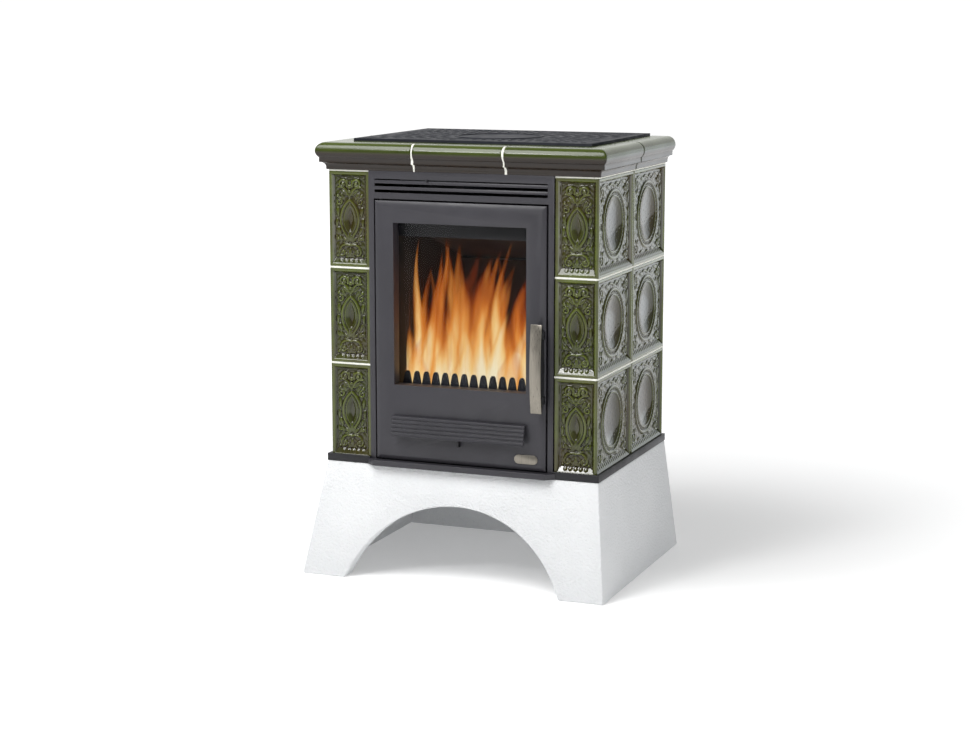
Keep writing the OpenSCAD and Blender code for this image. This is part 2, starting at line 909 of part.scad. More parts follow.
module hearth() {
    color("tan")
    difference() {
        block([-brick_x, brick_front, hearth_z - hearth_t], [brick_x, brick_back, hearth_z]);
        block([-grate_w / 2, grate_y - grate_d / 2, hearth_z - hearth_t - 1],
              [grate_w / 2, grate_y + grate_d / 2, hearth_z + 1]);
        block([-grate_w / 2 - grate_lap, grate_y - grate_d / 2 - grate_lap, hearth_z - grate_t],
              [grate_w / 2 + grate_lap, grate_y + grate_d / 2 + grate_lap, hearth_z + 1]);
    }
}

module fire_grate() {
    x = grate_w / 2 + grate_lap - grate_play;
    y = grate_d / 2 + grate_lap - grate_play;
    step = grate_w / grate_slots;
    color("dimgray")
    difference() {
        block([-x, grate_y - y, hearth_z - grate_t], [x, grate_y + y, hearth_z]);
        for (i = [0:grate_slots - 1])
            block([-grate_w / 2 + (i + 0.25) * step, grate_y - grate_d / 2 + 12, hearth_z - grate_t - 1],
                  [-grate_w / 2 + (i + 0.75) * step, grate_y + grate_d / 2 - 12, hearth_z + 1]);
    }
}

module baffle() {
    color("tan")
    along_x(-brick_x, brick_x)
        polygon([[brick_back, baffle_z0], [baffle_front, baffle_z1],
                 [baffle_front, baffle_z1 + baffle_t], [brick_back, baffle_z0 + baffle_t]]);
}

module ash_pan() {
    z1 = fire_z0 + pan_h;
    grip = 40;
    color("gray") {
        difference() {
            block([-pan_x, pan_front, fire_z0], [pan_x, pan_back, z1]);
            block([-pan_x + pan_t, pan_front + pan_t, fire_z0 + pan_t],
                  [pan_x - pan_t, pan_back - pan_t, z1 + 1]);
        }
        block([-grip, pan_front - 5, z1 - 20], [grip, pan_front, z1 - 17]);
    }
}

module flue_blank() {
    color("dimgray") upright(0, disc_y, box_z1, box_z1 + blank_t, blank_r);
}

module flue_spigot() {
    color("dimgray")
    translate([0, 0, flue_z]) rotate([-90, 0, 0])
        difference() {
            union() {
                translate([0, 0, box_back]) cylinder(r = collar_r, h = body_d - box_back);
                translate([0, 0, box_back]) cylinder(r = flue_r, h = body_d + flue_out - box_back);
            }
            translate([0, 0, box_back - 1])
                cylinder(r = flue_r - flue_t, h = body_d + flue_out - box_back + 2);
        }
}

// ---- casing behind the tiles ----

module tile_rails() {
    x = tile_in - rail_gap;
    y = tile_t + rail_gap;
    color("gray")
    for (side = ["left", "right"]) on_side(side) {
        block([x - rail_w, y, base_z], [x, y + rail_t, body_top]);
        block([x - rail_t, y, base_z], [x, y + rail_w, body_top]);
        block([x - rail_w, panel_back - panel_t - rail_t, base_z],
              [x, panel_back - panel_t, body_top]);
        block([x - rail_t, panel_back - panel_t - rail_w, base_z],
              [x, panel_back - panel_t, body_top]);
    }
}

module back_panel() {
    x = tile_in - rail_gap;
    color("gray")
    difference() {
        block([-x, panel_back - panel_t, base_z], [x, panel_back, cornice_top - 1]);
        translate([0, panel_back + 1, flue_z]) rotate([90, 0, 0])
            cylinder(r = collar_r + 1, h = panel_t + 2);
    }
}

module back_screws() {
    x = tile_in - rail_gap - rail_w / 2;
    color("silver")
    for (side = [-1, 1], i = [0:3])
        translate([side * x, panel_back, base_z + 30 + i * (body_top - base_z - 60) / 3])
            rotate([-90, 0, 0]) cylinder(r = screw_r, h = screw_h);
}

// ---- the whole stove ----

placed() plinth();
placed() base_plate();
placed() ash_lip();
for (side = ["left", "right"], row = [1:rows]) {
    placed() on_side(side) corner_tile(row);
    placed() on_side(side) side_tile(row);
}
for (side = ["left", "right"]) {
    placed() on_side(side) tile_joints();
    placed() on_side(side) cornice_corner();
    placed() on_side(side) cornice_rear();
    placed() on_side(side) firebrick_side();
}
placed() cornice_middle();
placed() cornice_joints();
placed() grille_rim();
placed() top_grille();
placed() grille_disc();
placed() front_sheet();
placed() vent_slats();
placed() upper_air_slider();
placed() door_casing();
placed() door_liner();
placed() door_glass();
placed() glass_clips();
placed() air_wash_strip();
placed() door_seal();
placed() door_hinge_pins();
placed() latch_keeper();
placed() handle_brackets();
placed() handle_pin();
placed() handle_lever();
placed() handle_bar();
placed() air_cover();
placed() lower_air_slider();
placed() badge_plate();
placed() log_guard();
placed() firebox_front();
placed() firebox_shell();
placed() firebrick_back();
placed() hearth();
placed() fire_grate();
placed() baffle();
placed() ash_pan();
placed() flue_blank();
placed() flue_spigot();
placed() tile_rails();
placed() back_panel();
placed() back_screws();
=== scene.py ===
# Tiled wood-burning stove: glazed relief tiles around a steel front, a cast top grille,
# and a fire behind the door's glass. Lengths are in metres.
import json
import math
import bmesh
import bpy
import numpy as np
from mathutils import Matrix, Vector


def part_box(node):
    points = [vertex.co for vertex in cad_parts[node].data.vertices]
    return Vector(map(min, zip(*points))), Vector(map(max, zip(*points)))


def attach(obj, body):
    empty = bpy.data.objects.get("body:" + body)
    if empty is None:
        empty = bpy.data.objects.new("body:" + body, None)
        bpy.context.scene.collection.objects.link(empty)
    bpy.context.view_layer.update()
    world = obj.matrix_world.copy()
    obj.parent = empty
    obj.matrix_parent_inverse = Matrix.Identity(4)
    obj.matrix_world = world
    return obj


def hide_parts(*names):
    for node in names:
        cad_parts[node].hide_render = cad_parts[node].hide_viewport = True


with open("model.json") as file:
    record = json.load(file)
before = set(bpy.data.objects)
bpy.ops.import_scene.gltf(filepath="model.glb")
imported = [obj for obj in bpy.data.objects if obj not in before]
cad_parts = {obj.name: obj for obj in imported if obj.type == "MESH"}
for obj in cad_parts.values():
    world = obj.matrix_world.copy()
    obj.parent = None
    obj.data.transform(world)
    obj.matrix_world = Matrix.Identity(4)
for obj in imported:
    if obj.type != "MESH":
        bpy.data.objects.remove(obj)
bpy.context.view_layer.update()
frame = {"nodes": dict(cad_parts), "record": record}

mm = 0.001
samePlace = 1e-7  # points closer than this are one
nodes = frame["nodes"]
record = frame["record"]
bodyOf = {node: body for body, held in record["behaviour"]["bodies"].items() for node in held}
slotOf = {part["node"]: part["material_slot"] for part in record["subparts"]}


def tint(code):  # a colour written as six hex digits, made linear
    parts = [int(code[i:i + 2], 16) / 255 for i in (0, 2, 4)]
    return tuple(p / 12.92 if p < 0.04045 else ((p + 0.055) / 1.055) ** 2.4 for p in parts) + (1.0,)


class Wire:  # an output socket; arithmetic on it adds Math nodes
    def __init__(self, finish, socket):
        self.finish = finish
        self.socket = socket

    def math(self, operation, first, second):
        return self.finish.node("Math", {0: first, 1: second}, operation=operation)

    def __add__(self, other):
        return self.math("ADD", self, other)

    def __sub__(self, other):
        return self.math("SUBTRACT", self, other)

    def __mul__(self, other):
        return self.math("MULTIPLY", self, other)


class Finish:  # a material around one Principled shader; fixed values sit on its own sockets
    def __init__(self, name, **fixed):
        self.material = bpy.data.materials.new(name)
        self.material.use_nodes = True
        self.tree = self.material.node_tree
        self.shader = self.tree.nodes["Principled BSDF"]
        for key, value in fixed.items():
            self.shader.inputs[key.replace("_", " ")].default_value = value

    def node(self, kind, inputs=None, output=0, stops=None, **settings):  # settings first, then sockets
        made = self.tree.nodes.new("ShaderNode" + kind)
        for key, value in settings.items():
            setattr(made, key, value)
        for i, (place, colour) in enumerate(stops or []):
            stop = made.color_ramp.elements[i] if i < 2 else made.color_ramp.elements.new(place)
            stop.position = place
            stop.color = colour
        for key, value in (inputs or {}).items():
            if isinstance(value, Wire):
                self.tree.links.new(value.socket, made.inputs[key])
            else:
                made.inputs[key].default_value = value
        return Wire(self, made.outputs[output])

    def feed(self, name, wire):
        self.tree.links.new(wire.socket, self.shader.inputs[name])

    def place(self):
        return self.node("TexCoord", output="Object")

    def stretched(self, scale):  # object coordinates drawn out along one axis
        return self.node("Mapping", {"Vector": self.place(), "Scale": scale})

    def noise(self, scale, detail=3.0, vector=None):
        inputs = {"Vector": vector or self.place(), "Scale": scale, "Detail": detail}
        return self.node("TexNoise", inputs)

    def held(self, name):  # a value stored on the mesh
        return self.node("Attribute", output="Fac", attribute_name=name)

    def band(self, wire, low, high, start=0.0, end=1.0):  # carries low..high to start..end
        inputs = {"Value": wire, "From Min": low, "From Max": high, "To Min": start, "To Max": end}
        return self.node("MapRange", inputs)

    def mix(self, factor, first, second):
        inputs = {0: factor, 6: first, 7: second}
        return self.node("Mix", inputs, output=2, data_type="RGBA")

    def ramp(self, wire, stops):
        return self.node("ValToRGB", {"Fac": wire}, stops=stops)

    def bump(self, height, distance, strength):
        inputs = {"Height": height, "Distance": distance, "Strength": strength}
        self.feed("Normal", self.node("Bump", inputs))


def ease(x, low, high):  # 0 below low, 1 above high, an S-curve between them
    t = np.clip((x - low) / (high - low), 0, 1)
    return t * t * (3 - 2 * t)


def gridQuads(rows, columns, wrapRows=False, wrapColumns=False, start=0):  # faces between a grid's points
    r = np.arange(rows if wrapRows else rows - 1)[:, None]
    c = np.arange(columns if wrapColumns else columns - 1)[None, :]
    r2 = (r + 1) % rows
    c2 = (c + 1) % columns
    corners = [r * columns + c, r * columns + c2, r2 * columns + c2, r2 * columns + c]
    return np.stack(np.broadcast_arrays(*corners), -1).reshape(-1, 4) + start


def weld(points, quads):  # joins equal points, says where each went, and drops the corners that a quad loses
    keys = np.round(points / samePlace).astype(np.int64)
    first, back = np.unique(keys, axis=0, return_index=True, return_inverse=True)[1:]
    back = back.reshape(-1)
    quads = back[quads]
    same = quads == np.roll(quads, -1, axis=1)
    whole = quads[~same.any(1)]
    once = same.sum(1) == 1
    keep = ~same[once]
    return points[first], [whole, quads[once][keep].reshape(-1, 3)], first, back


def makeMesh(name, points, faces, values=None, smooth=True, sharpAngle=50):  # values are kept per point
    faces = [np.asarray(f, np.int64) for f in faces if len(f)]
    sizes = np.concatenate([np.full(len(f), f.shape[1]) for f in faces])
    corners = np.concatenate([f.reshape(-1) for f in faces])
    mesh = bpy.data.meshes.new(name)
    mesh.vertices.add(len(points))
    mesh.vertices.foreach_set("co", np.asarray(points, np.float32).reshape(-1))
    mesh.loops.add(len(corners))
    mesh.loops.foreach_set("vertex_index", corners.astype(np.int32))
    mesh.polygons.add(len(sizes))
    mesh.polygons.foreach_set("loop_start", (np.cumsum(sizes) - sizes).astype(np.int32))
    mesh.update(calc_edges=True)
    mesh.polygons.foreach_set("use_smooth", np.full(len(sizes), smooth))
    if smooth:
        mesh.set_sharp_from_angle(angle=math.radians(sharpAngle))
    for key, value in (values or {}).items():
        layer = mesh.attributes.new(key, "FLOAT", "POINT")
        layer.data.foreach_set("value", np.asarray(value, np.float32).reshape(-1))
    return mesh


def faceOut(mesh):  # turns every closed part's faces outwards
    shape = bmesh.new()
    shape.from_mesh(mesh)
    bmesh.ops.remove_doubles(shape, verts=shape.verts, dist=samePlace)
    bmesh.ops.recalc_face_normals(shape, faces=shape.faces)
    shape.to_mesh(mesh)
    shape.free()
    return mesh


def addPiece(name, mesh, finish, body, slot, *replaced):  # it stands for the CAD nodes that it replaces
    piece = bpy.data.objects.new(name, mesh)
    bpy.context.scene.collection.objects.link(piece)
    mesh.materials.clear()
    mesh.materials.append(finish.material)
    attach(piece, body)
    if replaced:
        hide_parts(*replaced)
    return piece


def camel(node):  # a CAD node's name as a piece's name
    first, *others = node.split("_")
    return first + "".join(word.capitalize() for word in others)


def tube(rings, capEnds=True):  # rings of points, one row a ring; flat caps close the ends
    rows, columns = rings.shape[:2]
    faces = [gridQuads(rows, columns, wrapColumns=True)]
    points = rings.reshape(-1, 3)
    if capEnds:
        ends = np.stack([rings[0].mean(0), rings[-1].mean(0)])
        turn = np.arange(columns)
        turn2 = (turn + 1) % columns
        count = rows * columns
        last = count - columns
        foot = np.stack([turn2, turn, np.full(columns, count)], -1)
        head = np.stack([last + turn, last + turn2, np.full(columns, count + 1)], -1)
        points = np.concatenate([points, ends])
        faces += [foot, head]
    return points, faces


def glazeFinish():  # green glaze, thin and pale on the ridges, dark where it pools
    look = dict(hollow="120b03", deep="201c05", body="31370a", thin="525c16", ridge="838a42")
    f = Finish("greenGlaze", Coat_Weight=0.1, Coat_Roughness=0.03, IOR=1.5)
    pool = f.held("glaze") + (f.noise(24.0, 4.0) - 0.5) * 0.3
    places = (0.0, 0.22, 0.45, 0.7, 1.0)
    colour = f.ramp(pool, list(zip(places, [tint(look[k]) for k in look])))
    cloud = f.band(f.noise(7.0, 3.0), 0.45, 0.7, 0.0, 0.6)
    f.feed("Base Color", f.mix(cloud, colour, tint("3a2a0c")))
    f.feed("Roughness", f.band(f.noise(60.0), 0.3, 0.7, 0.07, 0.16))
    f.bump(f.noise(16.0, 1.0), 0.0008, 0.2)
    return f


def corniceFinish():  # the same glaze on smooth mouldings: even green, brown in the cove; the roll is brown on its underside as painted shade and pale along its top edge as a painted highlight
    f = Finish("corniceGlaze", IOR=1.44)
    pool = f.held("glaze") + (f.noise(14.0, 3.0) - 0.5) * 0.16
    # olive above, brown below; the brown under the roll is painted shade and the palest stop is a painted
    # highlight
    stops = [(0.0, tint("140c07")), (0.3, tint("1f1304")), (0.6, tint("2b3308")), (1.0, tint("56661a"))]
    f.feed("Base Color", f.ramp(pool, stops))
    f.feed("Roughness", f.band(f.noise(8.0, 1.0), 0.3, 0.7, 0.16, 0.24))
    f.bump(f.noise(14.0, 1.0), 0.0008, 0.2)
    return f


def paintFinish(name, dark, light, roughness, grain):  # matt heat-proof paint over steel
    f = Finish(name, IOR=1.45)
    f.feed("Base Color", f.mix(f.noise(9.0, 4.0), tint(dark), tint(light)))
    f.feed("Roughness", f.band(f.noise(25.0), 0.3, 0.7, roughness - 0.06, roughness + 0.06))
    f.bump(f.noise(1400.0, 2.0), grain, 0.35)
    return f


def castFinish():  # cast iron: pitted skin, rubbed lighter in patches
    f = Finish("castIron", Specular_IOR_Level=0.22)
    f.feed("Base Color", f.mix(f.noise(18.0, 5.0), tint("1a1c22"), tint("2c2e36")))
    f.feed("Roughness", f.band(f.noise(30.0), 0.3, 0.7, 0.5, 0.7))
    f.bump(f.noise(520.0, 4.0) + f.noise(120.0) * 0.6, 0.0007, 0.5)
    return f


def steelFinish(name, dark, light, scale, roughness):  # bare steel with the lines of its brush
    f = Finish(name, Metallic=1.0)
    lines = f.noise(1.0, 3.0, f.stretched(scale))
    f.feed("Base Color", f.mix(lines, tint(dark), tint(light)))
    f.feed("Roughness", f.band(lines, 0.3, 0.7, roughness, roughness + 0.16))
    f.bump(lines, 0.0002, 0.3)
    return f


def renderFinish():  # fine rough plaster, painted white
    f = Finish("plinthRender", Roughness=0.9, IOR=1.4)
    coarse = f.noise(190.0, 6.0)
    f.feed("Base Color", f.mix(f.noise(6.0, 5.0), tint("dcdee0"), tint("ecedee")))
    f.bump(coarse + f.noise(560.0, 3.0) * 0.4, 0.004, 0.9)
    return f


def fillerFinish(name, dark, light):  # joint filler, a little uneven
    f = Finish(name, Roughness=0.75)
    f.feed("Base Color", f.mix(f.noise(55.0, 5.0), tint(dark), tint(light)))
    f.bump(f.noise(420.0, 4.0), 0.0005, 0.6)
    return f


def glassFinish():
    f = Finish("fireGlass", Base_Color=tint("0a0b0d"), Roughness=0.03, IOR=1.5)
    f.feed("Alpha", f.band(f.noise(7.0), 0.3, 0.8, 0.06, 0.12))
    return f


def brickFinish():  # vermiculite brick, stained with soot
    f = Finish("fireBrick", Roughness=0.95)
    soot = f.ramp(f.noise(6.0, 6.0), [(0.35, tint("0d0b0a")), (0.7, tint("40342a"))])
    grains = f.noise(300.0, 3.0)
    f.feed("Base Color", f.mix(grains * 0.6, soot, tint("1a1511")))
    f.bump(grains, 0.001, 0.6)
    return f


def ropeFinish():  # braided glass-fibre rope: two sets of strands that cross, darker in the grooves between them as painted shade
    f = Finish("ropeSeal", Roughness=0.9)
    strands = f.held("strand")
    # dark where the braid is low, in the grooves between strands: painted shade
    f.feed("Base Color", f.mix(strands, tint("202022"), tint("77756e")))
    f.bump(strands + f.noise(900.0) * 0.4, 0.0006, 0.8)
    return f


def flameFinish():  # a flame's own light: cream where it is hot, dark orange at its tip
    f = Finish("flame", Base_Color=(0, 0, 0, 1), Roughness=1.0, Specular_IOR_Level=0.0, Emission_Strength=1.0)
    streaks = f.noise(1.0, 3.0, f.stretched((42.0, 42.0, 6.0)))
    wisps = f.noise(1.0, 2.0, f.stretched((90.0, 90.0, 16.0)))
    heat = f.held("warmth") + (streaks - 0.5) * 0.75 + (wisps - 0.5) * 0.25
    stops = [(0.0, tint("2a0d04")), (0.2, tint("8a3410")), (0.42, tint("d26f24")),
             (0.62, tint("f4a24a")), (0.8, tint("ffd58a")), (1.0, tint("fff5d2"))]
    f.feed("Emission Color", f.ramp(heat, stops))
    f.feed("Alpha", f.held("cover") * f.band(streaks, 0.3, 0.62, 0.35, 1.0))
    return f


def emberFinish():  # charcoal that glows in its cracks
    f = Finish("ember", Roughness=0.9, Emission_Strength=2.2)
    cracks = f.noise(34.0, 6.0)
    f.feed("Base Color", f.mix(f.noise(90.0, 4.0), tint("0c0a09"), tint("37322e")))
    stops = [(0.44, tint("000000")), (0.56, tint("c03a04")), (0.7, tint("ffb040"))]
    f.feed("Emission Color", f.ramp(cracks, stops))
    f.bump(cracks, 0.004, 0.8)
    return f


finishes = {
    "green_glaze": glazeFinish(),
    "joint_filler": fillerFinish("jointFiller", "cfcfc4", "f2f2ea"),
    "plinth_render": renderFinish(),
    "anthracite_steel": paintFinish("anthraciteSteel", "2c2b2f", "36353b", 0.42, 0.0002),
    "black_steel": paintFinish("blackSteel", "131316", "1e1e22", 0.5, 0.0002),
    "cast_iron": castFinish(),
    "stainless": steelFinish("stainless", "6b6760", "a09a8f", (900.0, 900.0, 12.0), 0.26),
    "bright_steel": steelFinish("brightSteel", "6f7174", "a3a5a8", (12.0, 700.0, 700.0), 0.3),
    "fire_glass": glassFinish(),
    "firebrick": brickFinish(),
    "rope_seal": ropeFinish(),
}
corniceGlaze = corniceFinish()
# a darker copy of the joint filler for the joints at the sides: painted shade
shadedJointFiller = fillerFinish("shadedJointFiller", "3f443a", "5b6152")
flameGlow = flameFinish()
emberGlow = emberFinish()
print("finishes made")

# parts drawn in black steel in place of their own finish, as painted shade for the gaps they sit in
paintedShadeParts = {"upper_air_slider", "door_hinge_pins", "lower_air_slider", "air_wash_strip"}


def finishOf(node):  # small parts that sit in the shade of a gap are drawn in black steel, as painted shade
    return finishes["black_steel" if node in paintedShadeParts else slotOf[node]]


for name, piece in nodes.items():
    piece.data.materials.clear()
    piece.data.materials.append(finishOf(name).material)


def easeEdges(node, width):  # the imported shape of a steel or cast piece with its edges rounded
    mesh = nodes[node].data.copy()
    shape = bmesh.new()
    shape.from_mesh(mesh)
    bmesh.ops.remove_doubles(shape, verts=shape.verts, dist=20 * samePlace)
    flat = math.radians(0.5)
    bmesh.ops.dissolve_limit(shape, angle_limit=flat, verts=shape.verts, edges=shape.edges)
    shape.to_mesh(mesh)
    shape.free()
    mesh.polygons.foreach_set("use_smooth", np.full(len(mesh.polygons), True))
    piece = addPiece(camel(node), mesh, finishOf(node), bodyOf[node], slotOf[node], node)
    bevel = piece.modifiers.new("easedEdges", "BEVEL")
    bevel.width = width
    bevel.segments = 2
    bevel.limit_method = "ANGLE"
    bevel.angle_limit = math.radians(33)
    bevel.use_clamp_overlap = True
    bevel.harden_normals = True


easedWidths = {
    "plinth": 3.5 * mm, "base_plate": 1.0 * mm, "ash_lip": 1.0 * mm, "front_sheet": 0.8 * mm,
    "vent_slats": 0.5 * mm, "door_casing": 0.9 * mm, "air_cover": 0.4 * mm,
    "handle_bar": 0.8 * mm, "handle_lever": 0.5 * mm, "handle_brackets": 0.6 * mm,
    "badge_plate": 0.5 * mm, "log_guard": 0.9 * mm, "top_grille": 0.9 * mm,
    "grille_disc": 0.9 * mm, "lower_air_slider": 0.3 * mm, "upper_air_slider": 0.3 * mm,
    "firebrick_left": 2.0 * mm, "firebrick_right": 2.0 * mm, "firebrick_back": 2.0 * mm,
    "baffle": 2.0 * mm, "hearth": 2.0 * mm, "fire_grate": 1.0 * mm, "flue_spigot": 0.6 * mm,
    "back_screws": 0.5 * mm, "back_panel": 0.5 * mm, "ash_pan": 0.5 * mm, "flue_blank": 1.0 * mm,
    "door_liner": 0.4 * mm, "air_wash_strip": 0.3 * mm, "glass_clips": 0.3 * mm,
}
for node, width in easedWidths.items():
    easeEdges(node, width)
print("edges eased on", len(easedWidths), "pieces")


# The relief functions work in millimetres: u runs along a tile's face and v up it, both from its middle.

def dome(gap, half):  # a half circle over -half..half: the root of 1 - (gap / half)^2
    return np.sqrt(np.clip(1 - (gap / half) ** 2, 0, 1))


def bead(u, v, cu, cv, radius, height):  # half a ball around (cu, cv)
    return height * dome(np.hypot(u - cu, v - cv), radius)


def leaf(u, v, cu, cv, angle, length, width, height):  # from its stalk at (cu, cv), with a vein
    a = math.radians(angle)
    along = ((u - cu) * math.cos(a) + (v - cv) * math.sin(a)) / length
    across = (-(u - cu) * math.sin(a) + (v - cv) * math.cos(a))
    half = width * np.sqrt(np.clip(along * (1 - along), 0, 1)) * (1.25 - 0.5 * along)
    share = np.abs(across) / np.maximum(half, 1e-3)
    body = height * np.clip(1 - share ** 2.5, 0, 1) * np.clip(along * (1 - along), 0, 1) ** 0.35 * 1.6
    return np.where((along > 0) & (along < 1), body * (0.72 + 0.28 * np.clip(share * 3, 0, 1)), 0)


def stroke(u, v, line, wide, narrow, height):  # a round ridge along a line of points, tapering
    best = np.zeros_like(u)
    count = len(line) - 1
    for i in range(count):
        (au, av), (bu, bv) = line[i], line[i + 1]
        du, dv = bu - au, bv - av
        t = np.clip(((u - au) * du + (v - av) * dv) / max(du * du + dv * dv, 1e-9), 0, 1)
        share = (i + t) / count
        half = wide + (narrow - wide) * share
        gap = np.hypot(u - au - t * du, v - av - t * dv) / half
        best = np.maximum(best, height * (0.5 + 0.5 * half / wide) * dome(gap, 1))
    return best


def curl(cu, cv, outer, inner, start, turns, count=26):  # points of a spiral that winds inwards
    t = np.linspace(0, 1, count)
    angle = np.radians(start) + 2 * math.pi * turns * t
    radius = outer + (inner - outer) * t ** 0.8
    return list(zip(cu + radius * np.cos(angle), cv + radius * np.sin(angle)))


def bow(ends, lift, count=9):  # points of a parabola over the line between two ends
    (au, av), (bu, bv) = ends
    t = np.linspace(0, 1, count)
    rise = 4 * lift * t * (1 - t)
    size = math.hypot(bu - au, bv - av)
    return list(zip(au + (bu - au) * t - (bv - av) / size * rise,
                    av + (bv - av) * t + (bu - au) / size * rise))


def spread(field, reach):  # the mean over a square of reach cells to each side
    for axis in (0, 1):
        pads = [(reach + 1, reach) if a == axis else (0, 0) for a in (0, 1)]
        sums = np.cumsum(np.pad(field, pads, mode="edge"), axis=axis)
        size = field.shape[axis]
        upper = np.take(sums, np.arange(2 * reach + 1, 2 * reach + 1 + size), axis=axis)
        lower = np.take(sums, np.arange(size), axis=axis)
        field = (upper - lower) / (2 * reach + 1)
    return field


frameLook = dict(round=1.8, step=6.4, stepDeep=1.2, slopeFrom=7.6, slope=5.0, foot=12.5, sunk=6.2,
                 fillet=1.1, beadGap=12.2, bead=4.6)


def tileFrame(u, v, halfU, halfV, openSide):  # a tile's moulded border; one side may run on round a corner
    left, right, foot, head = u + halfU, halfU - u, v + halfV, halfV - v
    k = frameLook
    nearest = np.minimum(np.minimum(left, right), np.minimum(foot, head))
    height = -k["stepDeep"] * ease(nearest, k["step"], k["slopeFrom"])
    down = np.ones_like(u)
    for edge, width in ((left, k["slope"]), (right, k["slope"]), (head, k["slope"]), (foot, k["foot"])):
        down = np.minimum(down, np.clip((edge - k["slopeFrom"]) / width, 0, 1))
    height -= k["sunk"] * down
    rounded = [edge for side, edge in ((-1, left), (1, right), (0, foot), (0, head))
               if side == 0 or side != openSide]
    for edge in rounded:
        inside = k["round"] - np.minimum(edge, k["round"])
        height -= k["round"] - np.sqrt(np.maximum(k["round"] ** 2 - inside ** 2, 0))
    inner = k["slopeFrom"] + k["slope"] + 1.2
    line = np.minimum(np.minimum(left, right), head)
    height += k["fillet"] * np.exp(-((line - inner) / 0.8) ** 2) * ease(foot, inner + 3, inner + 9)
    return height, ease(nearest, inner + 0.5, inner + 2.5) * ease(foot, inner + 6, inner + 8)


def overlay(height, features):  # each feature stands on the ground unless the ground is higher
    for feature in features:
        height = np.where(feature > 0, np.maximum(height, feature), height)
    return height


ovalLook = dict(wide=24.5, tall=47.0, rim=5.6, inner=4.0, floor=2.2, sunk=4.6)


def halfTileRelief(u, v):  # a pointed oval, where two arcs meet, between scrolls; the same left and right
    k = ovalLook
    s = np.abs(u)
    r = (k["wide"] ** 2 + k["tall"] ** 2) / (2 * k["wide"])
    rim = np.hypot(s + r - k["wide"], v + 1) - r
    ground = 1.1 + 0.7 * np.sin(0.5 * s + 0.21 * v) * np.sin(0.33 * v + 0.4)
    ground = overlay(ground, [
        leaf(s, v, 7, 94, -28, 30, 11, 2.4),
        leaf(s, v, 31, 66, -96, 26, 10, 2.6),
        leaf(s, v, 32, 34, -100, 30, 10, 2.6),
        leaf(s, v, 31, -20, -80, 26, 9, 2.6),
        leaf(s, v, 31, -52, -98, 28, 9, 2.6),
    ])
    height = np.maximum(ground, k["rim"] * dome(rim + 2.2, 4.2))
    height = np.maximum(height, k["inner"] * dome(rim + 9.2, 2.4))
    height = np.where(rim < -6, np.maximum(height, k["floor"]), height)
    height = height - k["sunk"] * ease(-rim, 11.5, 22)
    return overlay(height, [
        stroke(s, v, curl(17.5, 80, 12, 3.0, 205, -1.4), 4.2, 2.6, 6.2),
        bead(s, v, 17.0, 80, 4.6, 6.6),
        stroke(s, v, bow(((28, 73), (5, 56)), -6), 3.2, 3.8, 5.4),
        leaf(s, v, 3.5, 53, 37, 24, 12, 5.2),
        leaf(s, v, 2, 52, 64, 22, 11, 6.0),
        leaf(s, v, 23, 60, -118, 20, 11, 5.0),
        bead(s, v, 0, 74, 6.4, 6.8),
        bead(s, v, 0, 63.5, 5.0, 6.2),
        bead(s, v, 6.2, 86.5, 3.8, 5.2),
        leaf(s, v, 0, 47, 90, 15, 9, 6.2),
        bead(s, v, 29.5, 52, 4.6, 5.4),
        stroke(s, v, curl(26.5, 39, 8.5, 2.4, 95, 1.2), 3.2, 2.0, 5.4),
        leaf(s, v, 31.5, 28, -98, 26, 10, 4.8),
        leaf(s, v, 32, 2, -88, 24, 9, 4.4),
        leaf(s, v, 31, -18, -112, 22, 10, 5.0),
        leaf(s, v, 33, -36, -84, 16, 8, 4.4),
        bead(s, v, 28.5, -46, 4.8, 5.4),
        leaf(s, v, 20, -52, 62, 18, 10, 5.0),
        leaf(s, v, 0, -52, 90, 25, 11, 6.8),
        leaf(s, v, 1.5, -53, 63, 23, 10, 6.4),
        leaf(s, v, 3, -54, 38, 19, 9, 5.8),
        leaf(s, v, 4, -57, 12, 16, 8, 5.2),
        stroke(s, v, bow(((0, -60), (26, -69)), 5), 4.0, 3.2, 5.8),
        stroke(s, v, curl(19, -77, 9.6, 2.4, 62, -1.3), 3.8, 2.2, 6.0),
        bead(s, v, 18.8, -77, 4.0, 6.2),
        leaf(s, v, 0, -90, 90, 24, 11, 5.4),
        leaf(s, v, 2, -89, 50, 17, 9, 4.8),
        bead(s, v, 31, -85, 3.6, 4.6),
        bead(s, v, 9.5, -88, 3.2, 4.4),
    ])


bowlLook = dict(ring=76, ringTall=6.0, beads=40, beadRing=69.3, beadTall=2.6, lip=63, lipTall=5.0,
                bowl=61, deep=14.0, field=1.4, share=0.6)


